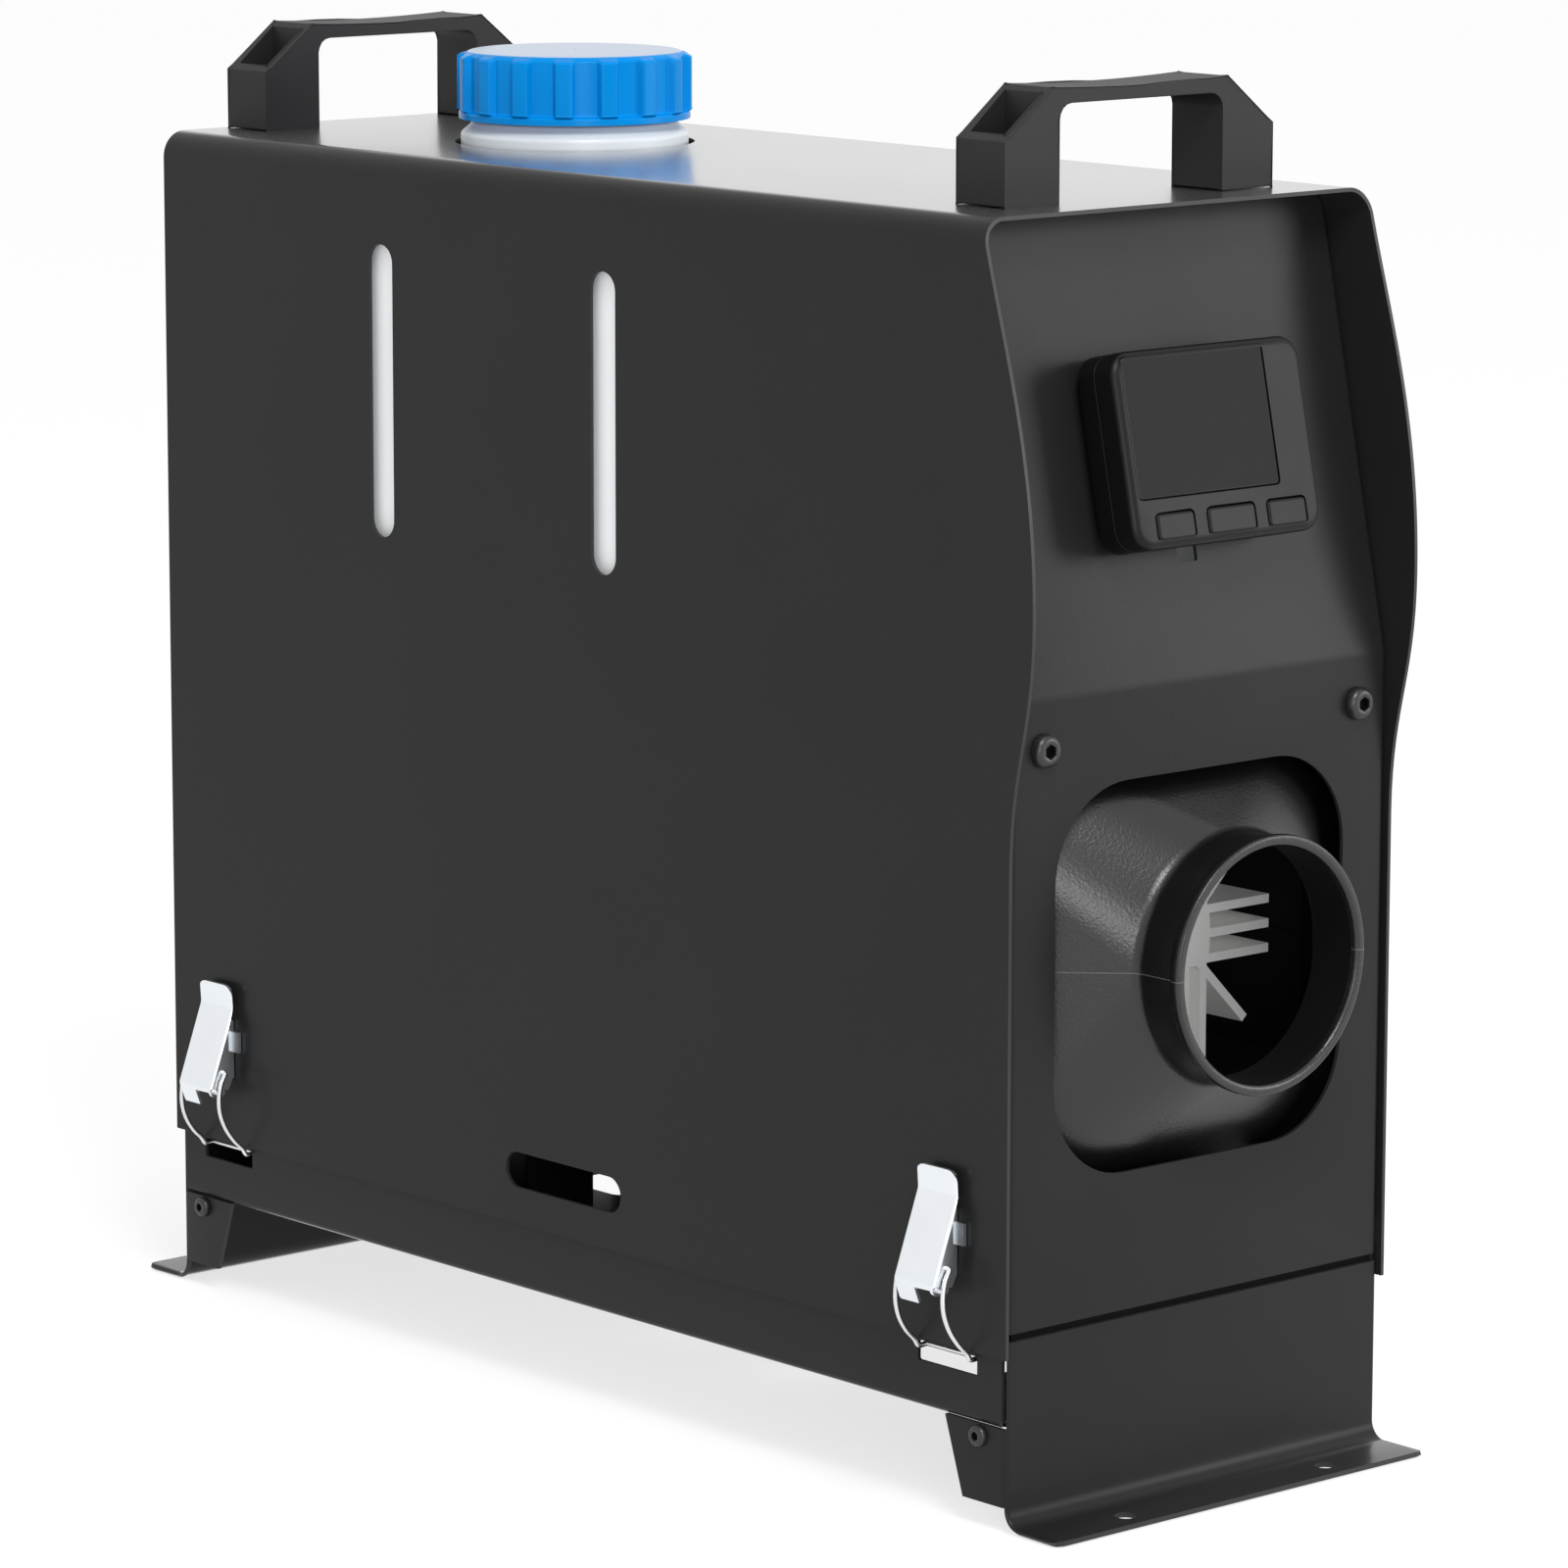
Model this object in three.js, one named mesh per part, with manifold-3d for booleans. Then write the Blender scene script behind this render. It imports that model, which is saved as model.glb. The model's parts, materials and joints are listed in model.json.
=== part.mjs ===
// Portable diesel air heater: a sheet-metal case with a fuel tank above and a finned air heater below.
// Millimetres, +Z up. X runs along the case and the air leaves at +X. Z = 0 is the underside of the feet.
import * as THREE from "three";
import { mergeVertices } from "three/addons/utils/BufferGeometryUtils.js";
import Module from "manifold-3d";

const wasm = await Module();
wasm.setup();

// ---------- driving dimensions ----------
const gap = 0.3; // clearance between neighbouring pieces
const sheet = 1.2; // thickness of the steel sheet

const caseLength = 391; // cover and base, along X
const coverWidth = 152.8; // over the outside of the cover
const coverTop = 371.9;
const coverBottom = 50.8; // lower edge of the cover
const coverBend = 8; // outside radius of the cover's long bends
const visorTop = 182.6; // front edge of the cover where it meets the top
const visorReach = 8.8; // how far the sides bulge past the straight front edge
const visorCrest = 262; // height of the furthest point of the bulge
const visorFoot = 190; // height where the bulge starts

const trayBottom = 30;
const trayWall = 60; // top edge of the base's side walls
const panelBottom = 57.7; // lower edge of the front and rear panels
const panelBend = 238; // where the front panel starts to lean back
const panelLean = 12.2; // degrees

const footReach = 215.4; // tip of the foot flange from the middle of the case
const footSheet = 1.5;
const footBend = 5;
const boltInset = 7.6; // bolt hole to the tip of the flange
const boltPitch = 81;
const boltHole = 6.5;

const handleLength = 105; // across the case
const handleWidth = 20; // along the case
const handleHeight = 33.3;
const handleLeg = 20.4;
const gripThickness = 4.6;
const handleFrontX = 156.7;
const handleRearX = -183;

const slotWidth = 11.4; // level slots in the cover
const slotLow = 254.8;
const slotHigh = 344.6;
const slotPlaces = [-85.3, 20];
const carrySlot = { length: 54.3, height: 11, z: 67.7 };

const fillX = -84.8; // axis of the filler neck
const coverHole = 37.2;
const neckRadius = 28.1;
const neckTop = 394;
const ringRadius = 35.3;
const ringTop = 379;
const capRadius = 34.3;
const capTop = 400.2;
const capRibs = 16;
const capWall = 2.4;

const tankTop = 352;
const tankWidth = 146;
const tankRear = -186;
const tankFront = 148;
const tankWall = 2.5;
const shelfTop = 229.4;
const tankBottom = shelfTop + gap;

const ductZ = 158.5; // axis of the air path
const nozzleReach = 223.4; // rim of the outlet from the middle of the case
const nozzleRadius = 37.5;
const collarRadius = 36.3;
const collarBase = 206;
const nozzleWall = 2.2;
const openingWidth = 115; // outlet opening in the front panel
const openingHeight = 113.5;
const openingZ = 154.8;
const openingCorner = 28;

const shellHalf = 62; // half the width and height of the heater's casing
const shellZ = 153;
const shellCorner = 30;
const shellWall = 2;
const shellRear = -170;
const shellFront = 176;

const latchX = 169.85; // latch places from the middle of the case
const latchPivot = 69.3; // height of the lever's pin
const latchStand = 7.4; // pin to the face of the cover
const latchWidth = 17;
const bailRadius = 0.75;
const bailHole = { stand: 6.8, rise: 6.2 }; // wire pivot from the cover and above the pin
const window = { width: 24.9, low: 43.6, high: 49.6 }; // latch windows in the base

const controlWidth = 74;
const controlHeight = 56;
const controlDepth = 19;
const controlSplit = 11; // depth where the back shell meets the front shell
const controlZ = 301.5;

// ---------- worked-out values ----------
const halfLength = caseLength / 2;
const coverFace = coverWidth / 2;
const coverInside = coverFace - sheet;
const trayFace = coverInside - gap;
const trayInside = trayFace - sheet;
const endFace = halfLength - 1; // outer face of the panels and of the feet's upright plates
const endInside = endFace - sheet;
const lean = THREE.MathUtils.degToRad(panelLean);
const panelTop = coverTop - sheet - gap;
const frameShift = (footReach - nozzleReach) / 2; // puts the middle of the whole length at X = 0

// ---------- materials ----------
function finish(colour, roughness, metalness) {
  return new THREE.MeshStandardMaterial({ color: colour, roughness, metalness });
}
const blackPaint = () => finish(0x2b2b2d, 0.5, 0.2);
const blackPlastic = () => finish(0x1d1d1f, 0.55, 0);
const bluePlastic = () => finish(0x0f7ed2, 0.35, 0);
const milkyPlastic = () => finish(0xe9edf0, 0.4, 0);
const zinc = () => finish(0xd5dadd, 0.3, 0.9);
const aluminium = () => finish(0xbfc2c4, 0.45, 0.9);
const steel = () => finish(0x8d9092, 0.35, 0.9);
const rubber = () => finish(0x232323, 0.8, 0);
const smokedGlass = () => finish(0x101114, 0.15, 0);
const darkScrew = () => finish(0x222224, 0.4, 0.7);

// ---------- solids ----------
function solid(geometry) {
  const plain = geometry.index ? geometry.toNonIndexed() : geometry.clone();
  plain.deleteAttribute("normal");
  plain.deleteAttribute("uv");
  const merged = mergeVertices(plain, 1e-4);
  const vertProperties = new Float32Array(merged.attributes.position.array);
  const corners = merged.index.array;
  const kept = [];
  for (let i = 0; i < corners.length; i += 3) {
    const [a, b, c] = corners.slice(i, i + 3);
    if (a !== b && b !== c && c !== a) kept.push(a, b, c);
  }
  const triVerts = new Uint32Array(kept);
  return new wasm.Manifold(new wasm.Mesh({ numProp: 3, vertProperties, triVerts }));
}

function join(first, ...others) {
  return others.reduce((sum, other) => sum.add(other), first);
}

function cut(body, ...tools) {
  return tools.reduce((rest, tool) => rest.subtract(tool), body);
}

const root = new THREE.Group();
root.position.x = frameShift;

function part(name, shape, material, parent = root) {
  const mesh = shape.getMesh();
  const count = mesh.numVert;
  const positions = new Float32Array(count * 3);
  for (let i = 0; i < count; i++) {
    const start = i * mesh.numProp;
    positions.set(mesh.vertProperties.subarray(start, start + 3), i * 3);
  }
  const geometry = new THREE.BufferGeometry();
  geometry.setAttribute("position", new THREE.BufferAttribute(positions, 3));
  geometry.setIndex(new THREE.BufferAttribute(mesh.triVerts, 1));
  const made = new THREE.Mesh(geometry, material);
  made.name = name;
  parent.add(made);
}

function block(x0, x1, y0, y1, z0, z1) {
  const geometry = new THREE.BoxGeometry(x1 - x0, y1 - y0, z1 - z0);
  return solid(geometry.translate((x0 + x1) / 2, (y0 + y1) / 2, (z0 + z1) / 2));
}

// Rods along each axis: the two numbers are the ends, and the last two are the place across the axis.
function rodX(radius, x0, x1, y, z, sides = 24) {
  const geometry = new THREE.CylinderGeometry(radius, radius, x1 - x0, sides);
  return solid(geometry.rotateZ(-Math.PI / 2).translate((x0 + x1) / 2, y, z));
}
function rodY(radius, y0, y1, x, z, sides = 24) {
  const geometry = new THREE.CylinderGeometry(radius, radius, y1 - y0, sides);
  return solid(geometry.translate(x, (y0 + y1) / 2, z));
}
function rodZ(radius, z0, z1, x, y, sides = 24) {
  const geometry = new THREE.CylinderGeometry(radius, radius, z1 - z0, sides);
  return solid(geometry.rotateX(Math.PI / 2).translate(x, y, (z0 + z1) / 2));
}

// A lathed body about a vertical axis: the profile lists [radius, height] and starts and ends on the axis,
// or closes on itself.
function turned(profile, x, y, sides = 48) {
  const points = profile.map(([r, z]) => new THREE.Vector2(r, z));
  const geometry = new THREE.LatheGeometry(points, sides).rotateX(Math.PI / 2);
  return solid(geometry.translate(x, y, 0));
}

// A flat outline in (u, v) thickened along X or Y. Along X: u = Y, v = Z. Along Y: u = X, v = Z.
function alongX(shape, x0, x1, curveSegments = 2) {
  const geometry = new THREE.ExtrudeGeometry(shape, {
    depth: x1 - x0, bevelEnabled: false, curveSegments,
  });
  const turn = new THREE.Matrix4().makeBasis(
    new THREE.Vector3(0, 1, 0), new THREE.Vector3(0, 0, 1), new THREE.Vector3(1, 0, 0));
  return solid(geometry.applyMatrix4(turn).translate(x0, 0, 0));
}
function alongY(shape, y0, y1, curveSegments = 3) {
  const geometry = new THREE.ExtrudeGeometry(shape, {
    depth: y1 - y0, bevelEnabled: false, curveSegments,
  });
  return solid(geometry.rotateX(Math.PI / 2).translate(0, y1, 0));
}

function roundedRect(width, height, radius, u = 0, v = 0) {
  const shape = new THREE.Shape();
  const right = u + width / 2 - radius;
  const left = u - width / 2 + radius;
  const top = v + height / 2 - radius;
  const bottom = v - height / 2 + radius;
  shape.absarc(right, top, radius, 0, Math.PI / 2);
  shape.absarc(left, top, radius, Math.PI / 2, Math.PI);
  shape.absarc(left, bottom, radius, Math.PI, 1.5 * Math.PI);
  shape.absarc(right, bottom, radius, 1.5 * Math.PI, 2 * Math.PI);
  return shape;
}

function polygon(points) {
  return new THREE.Shape(points.map(([u, v]) => new THREE.Vector2(u, v)));
}

// A round tube or wire through the given points.
function wire(points, radius, steps, sides = 8) {
  const path = new THREE.CatmullRomCurve3(points.map((p) => new THREE.Vector3(...p)), false, "centripetal");
  const section = new THREE.Shape();
  section.absarc(0, 0, radius, 0, 2 * Math.PI);
  const geometry = new THREE.ExtrudeGeometry(section, {
    steps, extrudePath: path, curveSegments: sides / 2,
  });
  return solid(geometry);
}

// A skin through closed rings of equal count, the last joined back to the first.
function loft(rings) {
  const count = rings[0].length;
  const positions = rings.flat(2);
  const index = [];
  rings.forEach((ring, i) => {
    const here = i * count;
    const next = ((i + 1) % rings.length) * count;
    for (let j = 0; j < count; j++) {
      const k = (j + 1) % count;
      index.push(here + j, here + k, next + k, here + j, next + k, next + j);
    }
  });
  const geometry = new THREE.BufferGeometry();
  geometry.setAttribute("position", new THREE.Float32BufferAttribute(positions, 3));
  geometry.setIndex(index);
  return solid(geometry);
}

// One ring of a duct at X: a square of half width half with round corners, centred at height z.
function ductRing(x, half, corner, z, perCorner = 8) {
  const ring = [];
  for (let quarter = 0; quarter < 4; quarter++) {
    for (let i = 0; i < perCorner; i++) {
      const angle = ((quarter + (i + 0.5) / perCorner) * Math.PI) / 2;
      const middle = ((quarter + 0.5) * Math.PI) / 2;
      const y = Math.sign(Math.cos(middle)) * (half - corner) + corner * Math.cos(angle);
      const up = Math.sign(Math.sin(middle)) * (half - corner) + corner * Math.sin(angle);
      ring.push([x, y, z + up]);
    }
  }
  return ring;
}

// ---------- cover ----------
// Side view of the cover: straight rear and lower edges, and a front edge that swells into a visor.
function coverSide() {
  const front = halfLength + 0.2;
  const shape = new THREE.Shape();
  shape.moveTo(-halfLength, coverBottom);
  shape.lineTo(front, coverBottom);
  shape.lineTo(front, visorFoot);
  shape.bezierCurveTo(front, visorFoot + 32, front + visorReach, visorCrest - 32,
    front + visorReach, visorCrest);
  shape.bezierCurveTo(front + visorReach, visorCrest + 48, visorTop + 7.4, coverTop - 32,
    visorTop, coverTop);
  shape.lineTo(-halfLength, coverTop);
  return shape;
}

function archSection(half, top, bottom, radius) {
  const shape = new THREE.Shape();
  shape.moveTo(-half, bottom);
  shape.lineTo(half, bottom);
  shape.absarc(half - radius, top - radius, radius, 0, Math.PI / 2);
  shape.absarc(-half + radius, top - radius, radius, Math.PI / 2, Math.PI);
  return shape;
}

function makeCover() {
  const reach = halfLength + 20;
  const outer = alongX(archSection(coverFace, coverTop, coverBottom, coverBend), -reach, reach, 2);
  const inner = alongX(archSection(coverInside, coverTop - sheet, coverBottom - 5, coverBend - sheet),
    -reach - 1, reach + 1, 2);
  let body = cut(outer, inner).intersect(alongY(coverSide(), -coverFace - 1, coverFace + 1, 7));
  const slotMiddle = (slotLow + slotHigh) / 2;
  for (const x of slotPlaces) {
    const slot = roundedRect(slotWidth, slotHigh - slotLow, slotWidth / 2, x, slotMiddle);
    body = cut(body, alongY(slot, -coverFace - 1, coverFace + 1));
  }
  const carry = roundedRect(carrySlot.length, carrySlot.height, carrySlot.height / 2, 0, carrySlot.z);
  body = cut(body, alongY(carry, -coverFace - 1, coverFace + 1));
  body = cut(body, rodZ(coverHole, coverTop - 5, coverTop + 5, fillX, 0, 48));
  part("cover", body, blackPaint());
}

// ---------- base, feet and panels ----------
function makeTray() {
  let body = block(-endInside + gap, endInside - gap, -trayFace, trayFace, trayBottom, trayBottom + sheet);
  for (const side of [-1, 1]) {
    const wallY = [side * trayFace, side * trayInside].sort((a, b) => a - b);
    const endX = [side * (endInside - gap), side * (endInside - gap - sheet)].sort((a, b) => a - b);
    body = join(body,
      block(-endInside + gap, endInside - gap, ...wallY, trayBottom, trayWall),
      block(...endX, -trayFace, trayFace, trayBottom, trayWall + 8));
    for (const x of [-latchX, latchX]) {
      body = cut(body, block(x - window.width / 2, x + window.width / 2, wallY[0] - 1, wallY[1] + 1,
        window.low, window.high));
    }
    for (const x of [-screwX, screwX]) {
      const tabY = [side * (trayInside - gap), side * (trayInside - gap - sheet)].sort((a, b) => a - b);
      const tab = block(x - 9, x + 9, ...tabY, trayBottom - 9, trayBottom + 0.5);
      body = join(body, cut(tab, rodY(screwHole, tabY[0] - 1, tabY[1] + 1, x, screwZ, 16)));
    }
  }
  const holes = [
    block(floorVentFront.x0, floorVentFront.x1, floorVentFront.y0, floorVentFront.y1, 25, 35),
    block(floorVentRear.x0, floorVentRear.x1, floorVentRear.y0, floorVentRear.y1, 25, 35),
    rodZ(exhaust.radius + 2, 25, 35, exhaust.x, 0, 24),
    rodZ(intake.radius + 2, 25, 35, intake.x, 0, 24),
  ];
  part("base_tray", cut(body, ...holes), blackPaint());
}

const screwX = 183.5;
const screwZ = 26.6;
const screwHole = 2.4;
const floorVentFront = { x0: 100, x1: 150, y0: -50, y1: 20 };
const floorVentRear = { x0: -124, x1: -93, y0: 23, y1: 58 };
const exhaust = { x: 20, radius: 12, bottom: 14 };
const intake = { x: -38.5, radius: 10, bottom: 14 };

// The front foot; the rear one is the same piece turned round.
function footSolid() {
  const top = panelBottom - 0.6;
  const section = new THREE.Shape();
  section.moveTo(endInside, top);
  section.lineTo(endInside, footBend + footSheet);
  section.absarc(endInside + footBend + footSheet, footBend + footSheet, footBend + footSheet,
    Math.PI, 1.5 * Math.PI);
  section.lineTo(footReach, 0);
  section.lineTo(footReach, footSheet);
  section.absarc(endFace + footBend, footSheet + footBend, footBend, 1.5 * Math.PI, Math.PI, true);
  section.lineTo(endFace, top);
  let body = alongY(section, -trayFace, trayFace, 5);
  const side = polygon([
    [169, trayBottom - gap], [endInside + 0.2, trayBottom - gap], [endInside + 0.2, 5.9], [176.5, 6.1],
  ]);
  for (const y of [-trayFace, trayFace - sheet]) body = join(body, alongY(side, y, y + sheet));
  for (const y of [-boltPitch / 2, boltPitch / 2]) {
    body = cut(body,
      rodZ(boltHole / 2, -1, 3, footReach - boltInset, y, 20),
      rodY(screwHole, -trayFace - 1, trayFace + 1, screwX, screwZ, 16));
  }
  return body;
}

function makeFeet() {
  part("front_foot", footSolid(), blackPaint());
  const turnedRound = new THREE.Group();
  turnedRound.rotation.z = Math.PI;
  root.add(turnedRound);
  part("rear_foot", footSolid(), blackPaint(), turnedRound);
}

const panelHalf = coverInside - 0.6;
const flange = 9; // depth of the panels' side returns
const panelScrew = { y: 62.5, z: 223.5, hole: 2.6 };

// Both panels round their upper corners to clear the cover's bends.
function panelOutline() {
  return alongX(archSection(panelHalf, panelTop, panelBottom - 1, coverBend), -caseLength, caseLength, 2);
}

// Side view of the front panel: upright below the bend, leaning back above it.
function leaningStrip(outerX, depth) {
  const bendX = outerX - depth;
  const rise = panelTop - panelBend;
  return polygon([
    [outerX, panelBottom], [outerX, panelBend], [outerX - rise * Math.tan(lean), panelTop],
    [bendX - rise * Math.tan(lean), panelTop], [bendX, panelBend], [bendX, panelBottom],
  ]);
}

function makeFrontPanel() {
  let body = alongY(leaningStrip(endFace, sheet), -panelHalf, panelHalf);
  const returns = leaningStrip(endFace, flange).getPoints();
  const raised = polygon(returns.map((p) => [p.x, Math.max(p.y, trayWall + 9)]));
  for (const y of [-panelHalf, panelHalf - sheet]) body = join(body, alongY(raised, y, y + sheet));
  const opening = roundedRect(openingWidth, openingHeight, openingCorner, 0, openingZ);
  body = cut(body.intersect(panelOutline()), alongX(opening, endFace - 4, endFace + 1, 4));
  for (const y of [-panelScrew.y, panelScrew.y]) {
    body = cut(body, rodX(panelScrew.hole, endFace - 4, endFace + 1, y, panelScrew.z, 16));
  }
  const notchZ = controlZ - 31;
  body = cut(body, block(170, 200, -3.8, 3.8, notchZ - 3.2, notchZ + 4));
  part("front_panel", body, blackPaint());
}

const cableHole = { y: 42, z: 84, radius: 9 };

function makeRearPanel() {
  let body = block(-endFace, -endInside, -panelHalf, panelHalf, panelBottom, panelTop);
  const low = trayWall + 9;
  for (const y of [-panelHalf, panelHalf - sheet]) {
    body = join(body, block(-endFace, -endFace + flange, y, y + sheet, low, panelTop));
  }
  const opening = roundedRect(openingWidth, openingHeight, openingCorner, 0, openingZ);
  body = cut(body.intersect(panelOutline()),
    alongX(opening, -endFace - 1, -endFace + 4, 4),
    rodX(cableHole.radius, -endFace - 1, -endFace + 4, cableHole.y, cableHole.z, 24));
  part("rear_panel", body, blackPaint());
}

// A rubber grommet lines the hole that the supply leads pass through.
function makeGrommet() {
  const inside = cableHole.radius - gap;
  const lip = inside + 2.3;
  const profile = [
    [4, -2.2], [lip - 0.8, -2.2], [lip, -1.4], [lip, -gap], [inside, -gap],
    [inside, sheet + gap], [lip, sheet + gap], [lip, sheet + 1.6], [4, sheet + 1.6], [4, -2.2],
  ];
  const points = profile.map(([r, z]) => new THREE.Vector2(r, z));
  const geometry = new THREE.LatheGeometry(points, 24).rotateZ(-Math.PI / 2);
  part("cable_grommet", solid(geometry.translate(-endFace, cableHole.y, cableHole.z)), rubber());
}

// The shelf carries the tank; its end flanges are screwed to the panels.
const spigot = { x: 60, y: 52, radius: 3.4, bottom: 223 };

function makeShelf() {
  const half = trayInside;
  const endX = endInside - gap;
  let body = block(-endX, endX, -half, half, shelfTop - sheet, shelfTop);
  for (const side of [-1, 1]) {
    const plate = [side * endX, side * (endX - sheet)].sort((a, b) => a - b);
    body = join(body, block(...plate, -half + 12, half - 12 + 6, shelfTop - 13, shelfTop));
  }
  body = join(body, block(endX - sheet, endX, -half + 2, half - 2, shelfTop - 13, shelfTop));
  for (const y of [-panelScrew.y, panelScrew.y]) {
    body = cut(body, rodX(panelScrew.hole, endX - 3, endX + 1, y, panelScrew.z, 16));
  }
  for (const x of [-flangeRelief, flangeRelief]) {
    for (const y of [-half, half]) {
      body = cut(body, block(x - 6, x + 6, y - 3, y + 3, shelfTop - 20, shelfTop + 1));
    }
  }
  body = cut(body, rodZ(spigot.radius + 4, shelfTop - 3, shelfTop + 2, spigot.x, spigot.y, 24));
  part("tank_shelf", body, blackPaint());
}
const flangeRelief = endInside - 4;

// ---------- screws ----------
function makePanelScrews() {
  for (const [name, y] of [["left", panelScrew.y], ["right", -panelScrew.y]]) {
    const head = turned([
      [0, 0], [4.9, 0], [4.9, 0.9], [4.2, 2], [2.9, 2.7], [1.9, 2.8], [1.9, 1], [0, 1],
    ], 0, 0, 24);
    const shank = rodZ(panelScrew.hole - gap, -9, 0.5, 0, 0, 16);
    const group = new THREE.Group();
    group.position.set(endFace + gap, y, panelScrew.z);
    group.rotation.y = Math.PI / 2;
    root.add(group);
    part("panel_screw_" + name, join(head, shank), darkScrew(), group);
  }
}

function makeFootScrews() {
  const places = { front_left: [1, 1], front_right: [1, -1], rear_left: [-1, 1], rear_right: [-1, -1] };
  for (const [name, [alongCase, side]] of Object.entries(places)) {
    const head = turned([[0, 0], [3.2, 0], [3.2, 0.8], [2.2, 1.7], [0, 1.7]], 0, 0, 20);
    const shank = rodZ(screwHole - gap, -6, 0.5, 0, 0, 12);
    const group = new THREE.Group();
    group.position.set(alongCase * screwX, side * (trayFace + gap), screwZ);
    group.rotation.x = (-side * Math.PI) / 2;
    root.add(group);
    part("foot_screw_" + name, join(head, shank), darkScrew(), group);
  }
}

// ---------- handles ----------
function handleSolid(centreX) {
  const half = handleLength / 2;
  const base = coverTop + gap;
  const top = coverTop + handleHeight;
  const shoulder = coverTop + 18.8;
  const topHalf = half - 18.3;
  const innerHalf = half - handleLeg;
  const under = top - gripThickness;
  const outline = new THREE.Shape();
  outline.moveTo(-half, base);
  outline.lineTo(-half, shoulder);
  outline.lineTo(-topHalf, top);
  outline.quadraticCurveTo(0, top - 2.4, topHalf, top);
  outline.lineTo(half, shoulder);
  outline.lineTo(half, base);
  outline.lineTo(innerHalf, base);
  outline.lineTo(innerHalf, under - 4);
  outline.lineTo(innerHalf - 4, under);
  outline.quadraticCurveTo(0, under - 1.6, -innerHalf + 4, under);
  outline.lineTo(-innerHalf, under - 4);
  outline.lineTo(-innerHalf, base);
  let body = alongX(outline, centreX - handleWidth / 2, centreX + handleWidth / 2, 5);
  const wall = 2.6;
  for (const side of [-1, 1]) {
    const y = [side * (half - wall - 0.5), side * (innerHalf + wall)].sort((a, b) => a - b);
    const pocket = block(centreX - handleWidth / 2 + wall, centreX + handleWidth / 2 - wall, ...y,
      base + 4, top - 4.5);
    body = cut(body, pocket, rodZ(2.6, base - 1, base + 6, centreX, side * (half - 10), 16));
  }
  return body;
}

function makeHandles() {
  part("handle_front", handleSolid(handleFrontX), blackPlastic());
  part("handle_rear", handleSolid(handleRearX), blackPlastic());
}

// ---------- fuel tank ----------
function makeTank() {
  const length = tankFront - tankRear;
  const middle = (tankFront + tankRear) / 2;
  const corner = 14;
  const bevel = 8;
  const shell = (inset) => {
    const shape = roundedRect(length - 2 * inset - 2 * bevel, tankWidth - 2 * inset - 2 * bevel,
      corner - bevel, middle, 0);
    const depth = tankTop - tankBottom - 2 * inset - 2 * bevel;
    const geometry = new THREE.ExtrudeGeometry(shape, {
      depth, bevelThickness: bevel, bevelSize: bevel, bevelSegments: 2, curveSegments: 2,
    });
    return solid(geometry.translate(0, 0, tankBottom + inset + bevel));
  };
  const collar = ringRadius + 0.9;
  const neck = turned([
    [0, tankTop - 6], [collar, tankTop - 6], [collar, coverTop - 4.5], [neckRadius, coverTop - 4.5],
    [neckRadius, neckTop - 9], [31.2, neckTop - 7.8], [31.2, neckTop - 6.6], [neckRadius, neckTop - 5.4],
    [neckRadius, neckTop], [0, neckTop],
  ], fillX, 0, 32);
  const bore = rodZ(neckRadius - tankWall, tankTop - 12, neckTop + 1, fillX, 0, 32);
  const outlet = rodZ(spigot.radius, spigot.bottom, tankBottom + 1, spigot.x, spigot.y, 16);
  const drain = rodZ(1.7, spigot.bottom - 1, tankBottom + 4, spigot.x, spigot.y, 12);
  const body = cut(join(shell(0), neck, outlet), shell(tankWall), bore, drain);
  part("fuel_tank", body, milkyPlastic());
}

function makeNeckRing() {
  const low = coverTop - 4.2;
  const inner = neckRadius + 0.5;
  const ring = turned([
    [inner, low], [ringRadius, low], [ringRadius, coverTop + 2.9], [ringRadius - 1.3, coverTop + 4],
    [inner + 1.6, ringTop - 0.9], [inner + 1.4, ringTop - gap], [inner, ringTop - gap], [inner, low],
  ], fillX, 0, 32);
  const split = block(fillX + 20, fillX + 45, -4.4, -3.2, low - 1, ringTop + 1);
  part("neck_ring", cut(ring, split), milkyPlastic());
}

function makeCap() {
  const inside = capRadius - capWall;
  const low = ringTop + gap;
  let body = turned([
    [inside, low], [capRadius + 1.6, low], [capRadius + 1.6, low + 2], [capRadius, low + 2.4],
    [capRadius, capTop - 3.6], [capRadius - 1.4, capTop - 1.4], [capRadius - 6, capTop - 0.3],
    [0, capTop], [0, capTop - 3.6], [inside, capTop - 3.6], [inside, low],
  ], fillX, 0, 36);
  for (let i = 0; i < capRibs; i++) {
    const angle = ((i + 0.5) / capRibs) * 2 * Math.PI;
    const rib = new THREE.BoxGeometry(2.2, 5.4, capTop - 4.4 - low - 1);
    rib.translate(capRadius - 0.1, 0, (capTop - 4.4 + low + 1) / 2).rotateZ(angle);
    body = join(body, solid(rib.translate(fillX, 0, 0)));
  }
  part("tank_cap", body, bluePlastic());
}

function makeCapSeal() {
  const low = neckTop + gap;
  const high = capTop - 3.6 - gap;
  part("cap_seal", rodZ(neckRadius - 0.6, low, high, fillX, 0, 32), rubber());
}

// ---------- fuel line ----------
const pumpAxis = { y: 47, z: 50 };
const filterEnds = { front: 32, rear: -12 };
const pumpEnds = { front: -42, rear: -118 };
const hoseRadius = 3;
const fuelInlet = { x: -8, y: 14, bottom: 84 };
const plungerStroke = 4;

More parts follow.
